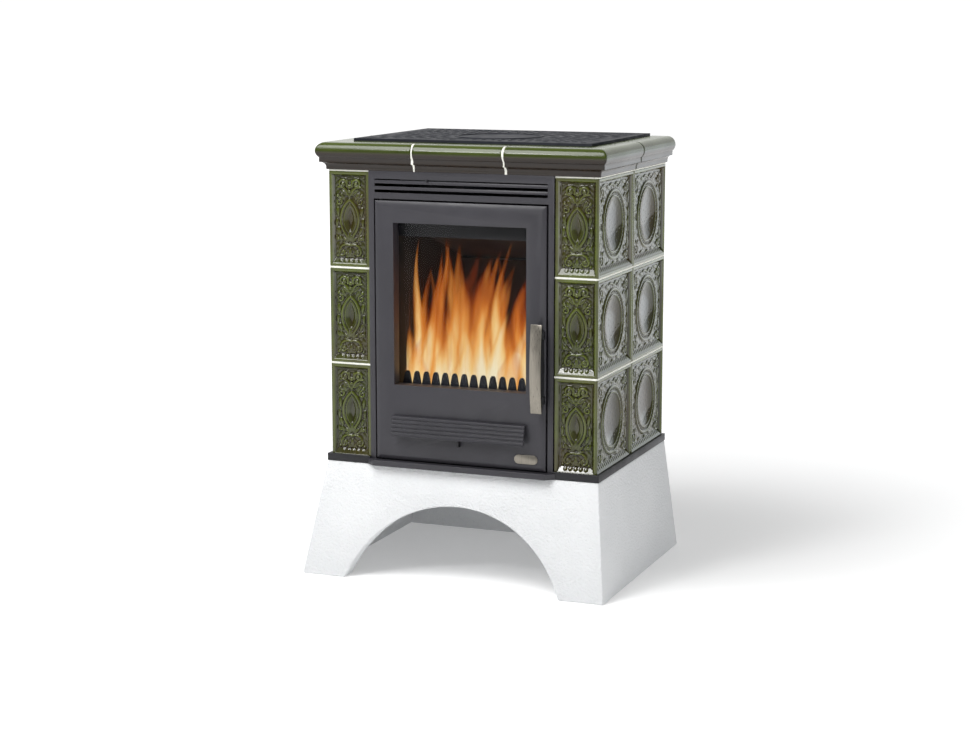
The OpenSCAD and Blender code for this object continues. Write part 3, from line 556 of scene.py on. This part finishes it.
def wholeTileRelief(u, v):  # a ringed round hollow, with a curl and leaves in each corner
    k = bowlLook
    s, w = np.abs(u), np.abs(v)
    r = np.hypot(u, v)
    around = np.arctan2(v, u)
    ground = 1.0 + 0.8 * np.sin(0.31 * s + 0.12 * w) * np.sin(0.27 * w - 0.1 * s)
    outside = np.maximum(ground, k["ringTall"] * dome(r - k["ring"], 4.6))
    beads = np.clip(np.cos(around * k["beads"]), 0, 1) * np.clip(1 - ((r - k["beadRing"]) / 2.6) ** 2, 0, 1)
    height = np.maximum(outside, k["field"] + k["beadTall"] * beads)
    height = np.where(r > k["ring"] - 5, outside, height)
    height = np.maximum(height, k["lipTall"] * dome(r - k["lip"], 3.2))
    height = height - k["deep"] * np.clip(1 - (r / k["bowl"]) ** 3, 0, 1)
    return k["share"] * overlay(height, [
        stroke(s, w, curl(91, 76, 14, 3.0, 200, -1.45), 4.4, 2.6, 6.0),
        bead(s, w, 91, 76, 4.8, 6.2),
        leaf(s, w, 84, 88, 168, 38, 14, 5.2),
        leaf(s, w, 54, 88, 192, 30, 12, 4.6),
        leaf(s, w, 102, 67, -98, 36, 14, 5.2),
        leaf(s, w, 103, 34, -92, 30, 11, 4.6),
        leaf(s, w, 82, 64, 210, 17, 11, 5.4),
        bead(s, w, 73, 76, 5.0, 5.4),
        bead(s, w, 88, 57, 4.6, 5.4),
        bead(s, w, 102, 90, 4.2, 5.0),
        stroke(s, w, bow(((30, 90), (2, 86)), -3), 3.0, 3.6, 4.8),
        stroke(s, w, bow(((103, 14), (98, 0)), 2), 3.0, 3.6, 4.8),
    ])


def faceRelief(u, v, halfU, halfV, ornament, openSide=0):  # border plus ornament, and how pale
    height, field = tileFrame(u, v, halfU, halfV, openSide)
    height = height + field * ornament(u, v)
    k = frameLook
    slopeBumps = sum(bead(u, v, cu, -halfV + 15.5, k["bead"], 1.0)
                     for cu in np.arange(-halfU + 26, halfU - 25, k["beadGap"]))
    height = height + slopeBumps
    local = height - spread(height, 4)
    pool = 0.5 + 0.09 * local + 0.022 * (height + 1.5)
    return height, np.clip(pool, 0, 1)


tileLook = dict(frontStep=0.92 * mm, sideStep=1.5 * mm, rowStep=1.0 * mm, corner=3.5 * mm, bend=6)


def closeBehind(outer, inner):  # shuts a face's grid with flat ends and a plain back
    rows, columns = outer.shape[:2]
    low = inner.copy()
    low[:, 2] = outer[0, :, 2]
    high = inner.copy()
    high[:, 2] = outer[-1, :, 2]
    count = rows * columns
    points = np.concatenate([outer.reshape(-1, 3), low, high])
    c = np.arange(columns - 1)
    top = count + columns
    last = count - columns
    foot = np.stack([c, count + c, count + c + 1, c + 1], -1)
    head = np.stack([last + c, last + c + 1, top + c + 1, top + c], -1)
    back = np.stack([count + c, top + c, top + c + 1, count + c + 1], -1)
    points, faces, kept, place = weld(points, np.concatenate([gridQuads(rows, columns), foot, head, back]))
    first = np.arange(rows) * columns
    ends = []
    for edge, a, b, turn in ((first, count, top, 1), (first + columns - 1, top - 1, top + columns - 1, -1)):
        corners = np.concatenate([[a], edge, [b]]) if turn > 0 else np.concatenate([[a], edge, [b]])[::-1]
        ends.append(place[corners][None, :])
    return points, faces + ends, kept


def cornerTileMesh(look):  # a path round the corner, carried up; relief moves each point along the normal
    low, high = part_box("corner_tile_right_1")
    sideLow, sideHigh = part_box("side_tile_right_1")
    thick = sideHigh.x - sideLow.x
    bendR = look["corner"]
    front = np.linspace(low.x, high.x - bendR, round((high.x - bendR - low.x) / look["frontStep"]))
    turn = np.radians(np.linspace(0, 90, look["bend"] + 2))[1:-1]
    side = np.linspace(low.y + bendR, high.y, round((high.y - low.y) / look["sideStep"]))
    x = np.concatenate([front, high.x - bendR + bendR * np.sin(turn), np.full(len(side), high.x)])
    y = np.concatenate([np.full(len(front), low.y), low.y + bendR - bendR * np.cos(turn), side])
    nx = np.concatenate([np.zeros(len(front)), np.sin(turn), np.ones(len(side))])
    ny = np.concatenate([-np.ones(len(front)), -np.cos(turn), np.zeros(len(side))])
    z = np.linspace(low.z, high.z, round((high.z - low.z) / look["rowStep"]) + 1)
    onFront = np.arange(len(x)) < len(front) + look["bend"] // 2
    halfV = (high.z - low.z) / 2 / mm
    v = np.broadcast_to(((z - z.mean()) / mm)[:, None], (len(z), len(x)))
    uFront = np.broadcast_to((x - (low.x + high.x) / 2) / mm, v.shape)
    uSide = np.broadcast_to((y - (low.y + high.y) / 2) / mm, v.shape)
    frontHeight, frontPool = faceRelief(uFront, v, (high.x - low.x) / 2 / mm, halfV, halfTileRelief, 1)
    sideHeight, sidePool = faceRelief(uSide, v, (high.y - low.y) / 2 / mm, halfV, wholeTileRelief, -1)
    height = np.where(onFront, frontHeight, sideHeight) * mm
    pool = np.where(onFront, frontPool, sidePool)
    outer = np.stack([x + nx * height, y + ny * height, np.broadcast_to(z[:, None], v.shape)], -1)
    inner = np.stack([np.minimum(x, high.x - thick), np.maximum(y, low.y + thick), np.zeros(len(x))], -1)
    points, faces, kept = closeBehind(outer, inner)
    values = np.concatenate([pool.reshape(-1), np.full(2 * len(x), 0.3)])[kept]
    return points, faces, values


def sideTileMesh(look):  # a flat face in y and z, its relief along X
    low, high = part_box("side_tile_right_1")
    y = np.linspace(low.y, high.y, round((high.y - low.y) / look["sideStep"]) + 1)
    z = np.linspace(low.z, high.z, round((high.z - low.z) / look["rowStep"]) + 1)
    v = np.broadcast_to(((z - z.mean()) / mm)[:, None], (len(z), len(y)))
    u = np.broadcast_to((y - y.mean()) / mm, v.shape)
    halfU, halfV = (high.y - low.y) / 2 / mm, (high.z - low.z) / 2 / mm
    height, pool = faceRelief(u, v, halfU, halfV, wholeTileRelief)
    across, up = np.broadcast_to(y, v.shape), np.broadcast_to(z[:, None], v.shape)
    outer = np.stack([high.x + height * mm, across, up], -1)
    inner = np.stack([np.full(len(y), low.x), y, np.zeros(len(y))], -1)
    points, faces, kept = closeBehind(outer, inner)
    return points, faces, np.concatenate([pool.reshape(-1), np.full(2 * len(y), 0.3)])[kept]


def layTiles(kind, shape):  # the same tile in three rows on both sides, mirrored on the left
    points, faces, values = shape
    for side, sign in (("right", 1), ("left", -1)):
        turned = points * [sign, 1, 1]
        sided = faces if sign > 0 else [f[:, ::-1] for f in faces]
        for row in (1, 2, 3):
            node = f"{kind}_tile_{side}_{row}"
            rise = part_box(node)[0].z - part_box(f"{kind}_tile_right_1")[0].z
            mesh = makeMesh(camel(node), turned + [0, 0, rise], sided, {"glaze": values}, sharpAngle=72)
            addPiece(camel(node), mesh, finishes["green_glaze"], "stove", "green_glaze", node)


layTiles("corner", cornerTileMesh(tileLook))
layTiles("side", sideTileMesh(tileLook))
print("relief tiles made")


corniceLook = dict(round=4.0 * mm, soft=1.6 * mm, cove=12 * mm, foot=5 * mm, step=6 * mm, hang=19 * mm,
                   swellFrom=-50, column=6 * mm, mitre=6)


def mouldingOutline(count=18):  # (out, up) from the foot's inner edge over cove and roll to the top
    k = corniceLook
    low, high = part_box("cornice_middle")
    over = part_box("corner_tile_right_1")[0].y - low.y
    tall = high.z - low.z
    footOut = over - k["hang"]
    roll = (tall - k["foot"] - k["cove"] - k["step"]) / 2
    cove = np.radians(np.linspace(180, 90, count))
    coveOut = footOut + k["cove"] + k["cove"] * np.cos(cove)
    coveUp = k["foot"] + k["cove"] * np.sin(cove)
    swell = np.radians(np.linspace(k["swellFrom"], 90, 2 * count))
    rollOut = over - roll + roll * np.cos(swell)
    rollUp = tall - roll + roll * np.sin(swell)
    out = np.concatenate([[footOut - 1 * mm, footOut], coveOut, rollOut])
    up = np.concatenate([[0, 1 * mm], coveUp, rollUp])
    return out, low.z + up


def cornicePath(kind):  # columns as (x, y, nx, ny) on the tiles' outline, from one end to the other
    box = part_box("cornice_middle" if kind == "middle" else f"cornice_{kind}_right")
    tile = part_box("corner_tile_right_1")
    step = corniceLook["column"]
    if kind == "middle":
        x = np.linspace(box[0].x, box[1].x, round((box[1].x - box[0].x) / step))
        return np.stack([x, np.full(len(x), tile[0].y), 0 * x, 0 * x - 1], -1)
    if kind == "rear":
        y = np.linspace(box[0].y, box[1].y, round((box[1].y - box[0].y) / step))
        return np.stack([np.full(len(y), tile[1].x), y, 0 * y + 1, 0 * y], -1)
    x = np.linspace(box[0].x, tile[1].x, round((tile[1].x - box[0].x) / step))[:-1]
    y = np.linspace(tile[0].y, box[1].y, round((box[1].y - tile[0].y) / step))[1:]
    turn = np.radians(np.linspace(0, 90, 9))
    front = np.stack([x, np.full(len(x), tile[0].y), 0 * x, 0 * x - 1], -1)
    bend = np.stack([np.full(9, tile[1].x), np.full(9, tile[0].y), np.sin(turn), -np.cos(turn)], -1)
    back = np.stack([np.full(len(y), tile[1].x), y, 0 * y + 1, 0 * y], -1)
    return np.concatenate([front, bend, back])


def softenEnds(path):  # short steps at both ends, where the glaze rounds the moulding off
    k = corniceLook
    share = np.array([0, 0.12, 0.4, 1.0])
    inset = k["soft"] * (1 - np.sqrt(1 - (1 - share) ** 2))
    forward = path[1] - path[0]
    backward = path[-2] - path[-1]
    lead = path[0] + np.outer(share, forward / np.linalg.norm(forward[:2]) * k["soft"])
    tail = path[-1] + np.outer(share, backward / np.linalg.norm(backward[:2]) * k["soft"])
    insets = np.concatenate([inset, np.zeros(len(path) - 2), inset[::-1]])
    return np.concatenate([lead, path[1:-1], tail[::-1]]), insets


def corniceMesh(kind):  # the outline carried along its path and moved out along the path's normal
    k = corniceLook
    out, up = mouldingOutline()
    path, inset = softenEnds(cornicePath(kind))
    px, py, nx, ny = [c[:, None] for c in path.T]
    shift = out[None, :] - inset[:, None]
    onFront, onSide = ny < -0.999, nx > 0.999
    bend = ~(onFront | onSide)
    x = px + np.where(nx > 0, 1, 0) * shift
    y = py - np.where(ny < 0, 1, 0) * shift
    if kind == "corner":  # the bend is an arc inside the mitre, the same radius at every height
        reach = shift - k["round"]
        x = np.where(bend | onSide, px + shift - k["round"] * bend * (1 - nx), x)
        y = np.where(bend | onFront, py - shift + k["round"] * bend * (1 + ny), y)
        frontRun = (px - px.min()) / (px.max() - px.min())
        x = np.where(onFront, px + reach * frontRun ** k["mitre"], x)
        sideRun = 1 - (py - py.min()) / (py.max() - py.min())
        y = np.where(onSide, py - reach * sideRun ** k["mitre"], y)
    z = np.broadcast_to(up[None, :], x.shape)
    outer = np.stack([x, y, z], -1)
    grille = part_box("top_grille")
    innerX, innerY = grille[1].x + 2 * mm, grille[0].y - 2 * mm
    ix = np.minimum(px, innerX) if kind != "rear" else np.full_like(px, innerX)
    iy = np.maximum(py, innerY) if kind != "rear" else py
    back = np.stack([ix, iy, np.full_like(ix, up[-1])], -1)
    foot = np.stack([ix, iy, np.full_like(ix, up[0])], -1)
    rings = np.concatenate([foot, outer, back], 1)
    count = rings.shape[1]
    points, faces = tube(rings, capEnds=False)
    points, faces, kept, place = weld(points, faces[0])
    faces = faces + [place[:count][None, ::-1], place[-count:][None, :]]
    share = (up - up[0]) / (up[-1] - up[0])
    # Along the outline: brown in the cove and on the roll's lower half, that half as painted shade; olive
    # from the roll's middle up; paler at the top edge as a painted highlight; a darker line at 0.4 of the
    # height, between cove and roll, as painted shade.
    tone = 0.2 + 0.46 * ease(share, 0.55, 0.73) + 0.12 * ease(share, 0.85, 1)
    tone = tone - 0.16 * np.exp(-((share - 0.4) / 0.08) ** 2)
    glazeAndPaintedLightTones = np.concatenate([[0.3], tone, [0.75]])
    values = np.broadcast_to(glazeAndPaintedLightTones, rings.shape[:2]).reshape(-1)[kept]
    return points, faces, values


def layCornice():  # one middle piece, and a corner and a rear piece on each side
    parts = [("cornice_middle", "middle", 1)]
    for kind in ("corner", "rear"):
        parts += [(f"cornice_{kind}_right", kind, 1), (f"cornice_{kind}_left", kind, -1)]
    for node, kind, sign in parts:
        points, faces, values = corniceMesh(kind)
        mesh = makeMesh(camel(node), points * [sign, 1, 1], faces, {"glaze": values}, sharpAngle=55)
        mesh = faceOut(mesh)
        addPiece(camel(node), mesh, corniceGlaze, "stove", "green_glaze", node)


layCornice()
print("cornice made")


seamLook = dict(half=2.3 * mm, vary=0.7 * mm, proud=0.7 * mm, sunk=0.25 * mm, deep=3 * mm)


def corniceJoint(base, along, normal, waver, share=1.0):  # a domed, wavy seam over the moulding's outline
    k = seamLook
    out, up = mouldingOutline(14)
    s = np.linspace(-1, 1, 9)
    t = np.linspace(0, 1, len(out))
    drift = waver * np.sin(5.5 * t + 1.0) * mm
    half = (k["half"] + k["vary"] * np.sin(9 * t + waver)) * share
    proud = k["proud"] * np.sqrt(1 - s ** 2 * 0.98)
    slopeOut, slopeUp = np.gradient(up), -np.gradient(out)
    slope = np.hypot(slopeOut, slopeUp)
    lift = proud[None, :] - k["sunk"]
    reach = out[:, None] + (slopeOut / slope)[:, None] * lift
    height = up[:, None] + (slopeUp / slope)[:, None] * lift
    sideways = drift[:, None] + half[:, None] * s
    face = base + along * sideways[..., None] + normal * reach[..., None]
    face[..., 2] = height
    behind = base + along * sideways[..., None] + normal * (out[:, None, None] - k["deep"])
    behind[..., 2] = up[:, None] + 0 * s
    return tube(np.concatenate([face, behind[:, ::-1]], 1))


def joinShapes(shapes):  # several (points, faces) as one
    points = np.concatenate([p for p, _ in shapes])
    starts = np.cumsum([0] + [len(p) for p, _ in shapes[:-1]])
    faces = [face + start for (_, held), start in zip(shapes, starts) for face in held]
    return points, faces


def layCorniceJoints():  # pale seams at the front; the seams at the sides in the darker copy of the filler, as painted shade
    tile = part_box("corner_tile_right_1")
    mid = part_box("cornice_middle")[1].x + 1.5 * mm
    back = tile[1].y + 1.5 * mm
    front, flank = [], []
    for sign in (1, -1):
        front.append(corniceJoint(np.array([sign * mid, tile[0].y, 0]), np.array([1.0, 0, 0]),
                                  np.array([0, -1.0, 0]), 0.9 * sign))
        flank.append(corniceJoint(np.array([sign * tile[1].x, back, 0]), np.array([0, 1.0, 0]),
                                  np.array([float(sign), 0, 0]), 0.3, 0.5))
    for title, shapes, finish in (("frontSeams", front, finishes["joint_filler"]),
                                  ("sideSeams", flank, shadedJointFiller)):
        points, faces = joinShapes(shapes)
        mesh = faceOut(makeMesh(title, points, faces))
        addPiece(title, mesh, finish, "stove", "joint_filler", "cornice_joints")


bedLook = dict(corner=2 * mm, over=0.6 * mm, frontSteps=36, flankSteps=120, upright=20 * mm, sunk=1.6 * mm)


def bedRing(z0, z1):  # one bed joint as an L-shaped bar with a slightly hollow, wavy face
    k = bedLook
    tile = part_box("corner_tile_right_1")
    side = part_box("side_tile_right_1")
    front = np.linspace(tile[0].x, tile[1].x - k["corner"], k["frontSteps"])
    flank = np.linspace(tile[0].y + k["corner"], side[1].y, k["flankSteps"])
    x = np.concatenate([front, np.full(len(flank), tile[1].x)])
    y = np.concatenate([np.full(len(front), tile[0].y), flank])
    nx = np.concatenate([np.zeros(len(front)), np.ones(len(flank))])
    ny = nx - 1
    run = np.cumsum(np.hypot(np.diff(x, prepend=x[0]), np.diff(y, prepend=y[0])))
    waver = (0.22 * np.sin(run * 61) + 0.18 * np.sin(run * 147 + 1)) * mm
    v = np.array([0, 0.0, 0.25, 0.5, 0.75, 1.0, 1.0])
    sink = np.array([1.4, 0.5, 0.15, 0.0, 0.15, 0.5, 1.4]) * mm
    depth = sink[None, :] + np.abs(waver)[:, None]
    z = z0 - k["over"] + (z1 - z0 + 2 * k["over"]) * v
    rings = np.stack([x[:, None] - nx[:, None] * depth, y[:, None] - ny[:, None] * depth, z + 0 * depth], -1)
    thick = side[1].x - side[0].x
    inX = np.minimum(x, tile[1].x - thick)
    inY = np.maximum(y, tile[0].y + thick)
    back = [np.stack([inX, inY, np.full(len(x), level)], -1)[:, None] for level in (z1, z0)]
    return tube(np.concatenate([rings] + back, 1))


def layTileJoints():  # pale bed joints over each row; uprights between corner and side tiles in the darker copy of the filler, as painted shade
    for side, sign in (("right", 1), ("left", -1)):
        beds, uprights = [], []
        for row in (1, 2, 3):
            low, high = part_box(f"corner_tile_{side}_{row}")
            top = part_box(f"corner_tile_{side}_{row + 1}" if row < 3 else "cornice_middle")[0].z
            beds.append(bedRing(high.z, top))
            outX = max(abs(low.x), abs(high.x)) - bedLook["sunk"]
            inX = outX - bedLook["upright"]
            y0, y1 = high.y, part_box(f"side_tile_{side}_{row}")[0].y
            ring = np.array([[inX, y0], [outX, y0 - 0.5 * mm], [outX, y1 + 0.5 * mm], [inX, y1]])
            uprights.append(tube(np.stack([np.column_stack([ring, np.full(4, z)]) for z in (low.z, high.z)])))
        for name, held, finish in (("bedJoints", beds, finishes["joint_filler"]),
                                   ("uprightJoints", uprights, shadedJointFiller)):
            points, faces = joinShapes(held)
            title = name + side.capitalize()
            mesh = faceOut(makeMesh(title, points * [sign, 1, 1], faces))
            addPiece(title, mesh, finish, "stove", "joint_filler", f"tile_joints_{side}")


layCorniceJoints()
layTileJoints()
print("joints made")


ropeLook = dict(width=10 * mm, corner=14 * mm, step=2.4 * mm, around=20, strands=4, pitch=15 * mm, depth=0.14)


def sealRope():  # a round section carried round a rectangle; two crossed waves make the braid
    k = ropeLook
    low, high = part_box("door_seal")
    wide = k["width"] / 2
    deep = (high.y - low.y) / 2
    midY = (low.y + high.y) / 2
    x1, z0, z1 = high.x - wide, low.z + wide, high.z - wide
    c = k["corner"]
    quarter = np.radians(np.linspace(0, 90, 10))
    corners = []
    right, left, head, foot = x1 - c, -x1 + c, z1 - c, z0 + c
    for cx, cz, start in ((right, head, 0), (left, head, 90), (left, foot, 180), (right, foot, 270)):
        a = quarter + math.radians(start)
        corners.append(np.stack([cx + c * np.cos(a), cz + c * np.sin(a)], -1))
    loop = np.concatenate(corners)
    closed = np.concatenate([loop, loop[:1]])
    length = np.concatenate([[0], np.cumsum(np.hypot(*np.diff(closed, axis=0).T))])
    count = round(length[-1] / k["step"])
    s = np.arange(count) * length[-1] / count
    px = np.interp(s, length, closed[:, 0])
    pz = np.interp(s, length, closed[:, 1])
    tx = np.roll(px, -1) - np.roll(px, 1)
    tz = np.roll(pz, -1) - np.roll(pz, 1)
    size = np.hypot(tx, tz)
    nx, nz = tz / size, -tx / size
    around = np.linspace(0, 2 * math.pi, k["around"], endpoint=False)
    twist = round(length[-1] / k["pitch"]) * 2 * math.pi * s / length[-1]
    wave = k["strands"] * around[None, :]
    weave = np.maximum(np.cos(wave + twist[:, None]), np.cos(wave - twist[:, None]))
    r = 1 - k["depth"] + k["depth"] * weave
    outX = wide * np.cos(around) * r
    outY = deep * np.sin(around) * r
    rings = np.stack([px[:, None] + nx[:, None] * outX, midY + outY, pz[:, None] + nz[:, None] * outX], -1)
    quads = gridQuads(count, k["around"], wrapRows=True, wrapColumns=True)
    # how high the braid stands at each point; the rope's colour darkens with it in the grooves, as painted
    # shade
    strand = np.clip(weave * 0.5 + 0.5, 0, 1)
    mesh = makeMesh("doorSeal", rings.reshape(-1, 3), [quads], {"strand": strand}, sharpAngle=180)
    addPiece("doorSeal", faceOut(mesh), finishes["rope_seal"], "door", "rope_seal", "door_seal")


sealRope()
print("seal made")


fireLook = dict(rows=44, around=20, lean=0.2, sway=(6 * mm, 20 * mm), left=20 * mm, foot=10 * mm, seed=11)
fireLayers = [  # count, depth behind the hearth's front, height, width, warmth, cover
    dict(count=12, depth=(0.11, 0.15), tall=(0.27, 0.35), wide=(0.07, 0.12), heat=0.36, cover=0.85),
    dict(count=14, depth=(0.07, 0.10), tall=(0.25, 0.38), wide=(0.05, 0.10), heat=0.52, cover=0.8),
    dict(count=13, depth=(0.045, 0.07), tall=(0.2, 0.37), wide=(0.035, 0.065), heat=0.74, cover=0.8),
    dict(count=8, depth=(0.03, 0.045), tall=(0.1, 0.24), wide=(0.06, 0.11), heat=0.76, cover=0.7),
]


def tongue(start, tall, wide, lean, sway, phase, heat, cover):
    # A lens-shaped blade: its middle line leans and waves, and its width falls to a point at the tip.
    # It is warmest at its foot and middle line, and fades at both edges, its foot and its tip.
    k = fireLook
    t = np.linspace(0, 1, k["rows"])[:, None]
    a = np.linspace(0, 2 * math.pi, k["around"], endpoint=False)[None, :]
    across = np.cos(a)
    middle = start[0] + lean * tall * t ** 1.3 + sway * np.sin(phase + 5 * t) * t
    half = 0.5 * wide * (0.5 + 0.5 * ease(t, 0, 0.3)) * np.maximum(1 - t, 0) ** 0.7
    half = np.maximum(half * (1 + 0.15 * np.sin(phase * 2 + 11 * t)), 0.05 * mm)
    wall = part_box("firebrick_right")[0].x - 1 * mm
    x = np.clip(middle + half * across, -wall, wall)
    y = start[1] + 0.2 * half * np.sin(a) + 0.2 * sway * np.sin(phase * 2 + 3 * t)
    z = start[2] + tall * t + 0 * a
    warm = heat + 0.37 - 0.62 * t ** 0.9 - 0.3 * across ** 2
    shown = cover * (1 - np.abs(across) ** 2.5) * (1 - t ** 2.2) * ease(t, 0, 0.06)
    return tube(np.stack([x, y + 0 * x, z], -1)), np.clip(warm, 0, 1), np.clip(shown, 0, 1)


def layFire():  # rows of tongues from back to front, each row's tongues spread over the hearth's width
    chance = np.random.default_rng(fireLook["seed"])
    low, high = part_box("hearth")
    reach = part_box("firebrick_right")[0].x
    shapes, heats, covers = [], [], []
    for layer in fireLayers:
        for i in range(layer["count"]):
            x = reach * (2 * (i + chance.uniform(0.2, 0.8)) / layer["count"] - 1) - fireLook["left"]
            start = (x, low.y + chance.uniform(*layer["depth"]), high.z + fireLook["foot"])
            tall, wide = chance.uniform(*layer["tall"]), chance.uniform(*layer["wide"])
            lean = fireLook["lean"] * chance.uniform(0.0, 1.5) * max(0, min(1, (x + reach) / 0.06))
            sway, phase = chance.uniform(*fireLook["sway"]), chance.uniform(0, 6.2)
            warmth = layer["heat"] * chance.uniform(0.8, 1.2)
            shape, heat, cover = tongue(start, tall, wide, lean, sway, phase, warmth, layer["cover"])
            shapes.append(shape)
            heats += [heat.reshape(-1), heat[0, :1], heat[-1, :1]]
            covers += [cover.reshape(-1), cover[0, :1], cover[-1, :1]]
    points, faces = joinShapes(shapes)
    values = {"warmth": np.concatenate(heats), "cover": np.concatenate(covers)}
    mesh = makeMesh("flames", points, faces, values, sharpAngle=180)
    addPiece("flames", mesh, flameGlow, "stove", "firebrick")


emberLook = dict(columns=90, rows=80, over=20 * mm, tall=22 * mm, lumps=70, spread=100 * mm,
                 lumpWide=(5 * mm, 12 * mm), lumpTall=(3 * mm, 12 * mm), seed=7)


def layEmbers():  # a heap over the grate: a low dome times its height and the sum of seeded round lumps
    k = emberLook
    chance = np.random.default_rng(k["seed"])
    low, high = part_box("fire_grate")
    columns, rows, over = k["columns"], k["rows"], k["over"]
    x = np.linspace(low.x - over, high.x + over, columns)[None, :]
    y = np.linspace(low.y - over, high.y + over, rows)[:, None]
    cx, cy = (low.x + high.x) / 2, (low.y + high.y) / 2
    away = ((x - cx) / (high.x - cx + over)) ** 2 + ((y - cy) / (high.y - cy + over)) ** 2
    heap = np.clip(1 - away, 0, 1) ** 0.6
    right, back = chance.uniform(-k["spread"], k["spread"], (2, k["lumps"]))
    wide, tall = chance.uniform(*k["lumpWide"], k["lumps"]), chance.uniform(*k["lumpTall"], k["lumps"])
    lumps = sum(np.exp(-((x - cx - a) ** 2 + (y - cy - b) ** 2) / (2 * s * s)) * h
                for a, b, s, h in zip(right, back, wide, tall))
    z = high.z + 0.5 * mm + heap * (k["tall"] + lumps)
    top = np.stack([x + 0 * z, y + 0 * z, z], -1)
    flat = top.copy()
    flat[..., 2] = high.z + 0.2 * mm
    count = rows * columns
    edge = np.concatenate([np.arange(columns), np.arange(1, rows) * columns + columns - 1,
                           count - 2 - np.arange(columns - 1), (np.arange(rows - 2, 0, -1)) * columns])
    nextEdge = np.roll(edge, -1)
    skirt = np.stack([edge, edge + count, nextEdge + count, nextEdge], -1)
    faces = [gridQuads(rows, columns), gridQuads(rows, columns, start=count)[:, ::-1], skirt]
    mesh = faceOut(makeMesh("emberBed", np.concatenate([top.reshape(-1, 3), flat.reshape(-1, 3)]), faces))
    addPiece("emberBed", mesh, emberGlow, "stove", "firebrick")


layFire()
layEmbers()
print("fire made")


floorLook = dict(size=14.0, tone=0.93, glow=0.85, near=0.5, far=4.3,
                 greys=((0.0, 0.21), (0.45, 0.7), (1.0, 1.0)))


def layFloor():  # pale, and lit from within so that it turns white away from the stove
    k = floorLook
    size = k["size"]
    x, y = np.meshgrid(np.linspace(-size, size, 3), np.linspace(-size, size, 3))
    mesh = makeMesh("floor", np.stack([x, y, 0 * x], -1).reshape(-1, 3), [gridQuads(3, 3)], smooth=False)
    floor = bpy.data.objects.new("floor", mesh)
    bpy.context.scene.collection.objects.link(floor)
    tone = (k["tone"],) * 3 + (1,)
    finish = Finish("paleFloor", Base_Color=tone, Roughness=0.9, Emission_Strength=k["glow"])
    away = finish.node("VectorMath", {0: finish.place()}, output="Value", operation="LENGTH")
    stops = [(place, (grey, grey, grey, 1)) for place, grey in k["greys"]]
    finish.feed("Emission Color", finish.ramp(finish.band(away, k["near"], k["far"]), stops))
    mesh.materials.append(finish.material)


lamps = [
    dict(name="overhead", place=(-1.0, -1.6, 3.2), target=(0, 0, 0.5), width=1.9, height=1.7, power=88),
    dict(name="key", place=(-1.2, -2.9, 2.7), target=(0, 0, 0.7), width=0.7, height=0.45, power=28),
    dict(name="side", place=(3.0, -1.2, 1.0), target=(0.3, 0, 0.4), width=1.6, height=1.6, power=15),
    dict(name="wall", place=(1.65, 3.0, 0.75), target=(0.4, 0, 0.6), width=1.3, height=1.5, power=4,
         colour=(0.8, 0.92, 1.0)),
]


def addLamp(name, place, target, width, height, power, colour=(1, 1, 1)):  # a soft light
    data = bpy.data.lights.new(name, "AREA")
    data.shape = "RECTANGLE"
    data.size = width
    data.size_y = height
    data.energy = power
    data.color = colour
    lamp = bpy.data.objects.new(name, data)
    lamp.location = place
    aim = np.array(target, float) - np.array(place, float)
    tilt = math.atan2(math.hypot(aim[0], aim[1]), -aim[2])
    lamp.rotation_euler = (tilt, 0, math.atan2(aim[0], -aim[1]) + math.pi)
    lamp.visible_camera = False
    bpy.context.scene.collection.objects.link(lamp)


roomLook = dict(towards=(-0.37, 0.92, 0.0), low=0.55, high=0.8, dim=0.3, bright=1.05)


def layRoom():  # it lights the stove from behind, and is dim in front and at the sides
    k = roomLook
    scene = bpy.context.scene
    world = bpy.data.worlds.new("studio")
    scene.world = world
    world.use_nodes = True
    tree = world.node_tree
    place = tree.nodes.new("ShaderNodeTexCoord")
    facing = tree.nodes.new("ShaderNodeVectorMath")
    facing.operation = "DOT_PRODUCT"
    facing.inputs[1].default_value = k["towards"]
    tree.links.new(place.outputs["Generated"], facing.inputs[0])
    ramp = tree.nodes.new("ShaderNodeMapRange")
    for socket, value in (("From Min", "low"), ("From Max", "high"), ("To Min", "dim"), ("To Max", "bright")):
        ramp.inputs[socket].default_value = k[value]
    tree.links.new(facing.outputs["Value"], ramp.inputs["Value"])
    ray = tree.nodes.new("ShaderNodeLightPath")
    seen = tree.nodes.new("ShaderNodeMath")  # what is seen of it is white on every side
    seen.operation = "MAXIMUM"
    tree.links.new(ramp.outputs[0], seen.inputs[0])
    tree.links.new(ray.outputs["Is Camera Ray"], seen.inputs[1])
    tree.links.new(seen.outputs[0], tree.nodes["Background"].inputs["Strength"])
    tree.nodes["Background"].inputs["Color"].default_value = (1, 1, 1, 1)
    scene.view_settings.view_transform = "Standard"


cameraLook = dict(lens=75.8, sensor=36.0, place=(1.75308, -4.49617, 1.29624), down=9.83, turn=21.55)


def layCamera():
    k = cameraLook
    data = bpy.data.cameras.new("camera")
    data.lens = k["lens"]
    data.sensor_width = k["sensor"]
    camera = bpy.data.objects.new("camera", data)
    camera.location = k["place"]
    camera.rotation_euler = (math.radians(90 - k["down"]), 0, math.radians(k["turn"]))
    bpy.context.scene.collection.objects.link(camera)
    bpy.context.scene.camera = camera


layFloor()
layRoom()
for lamp in lamps:
    addLamp(**lamp)
layCamera()
print("studio made")
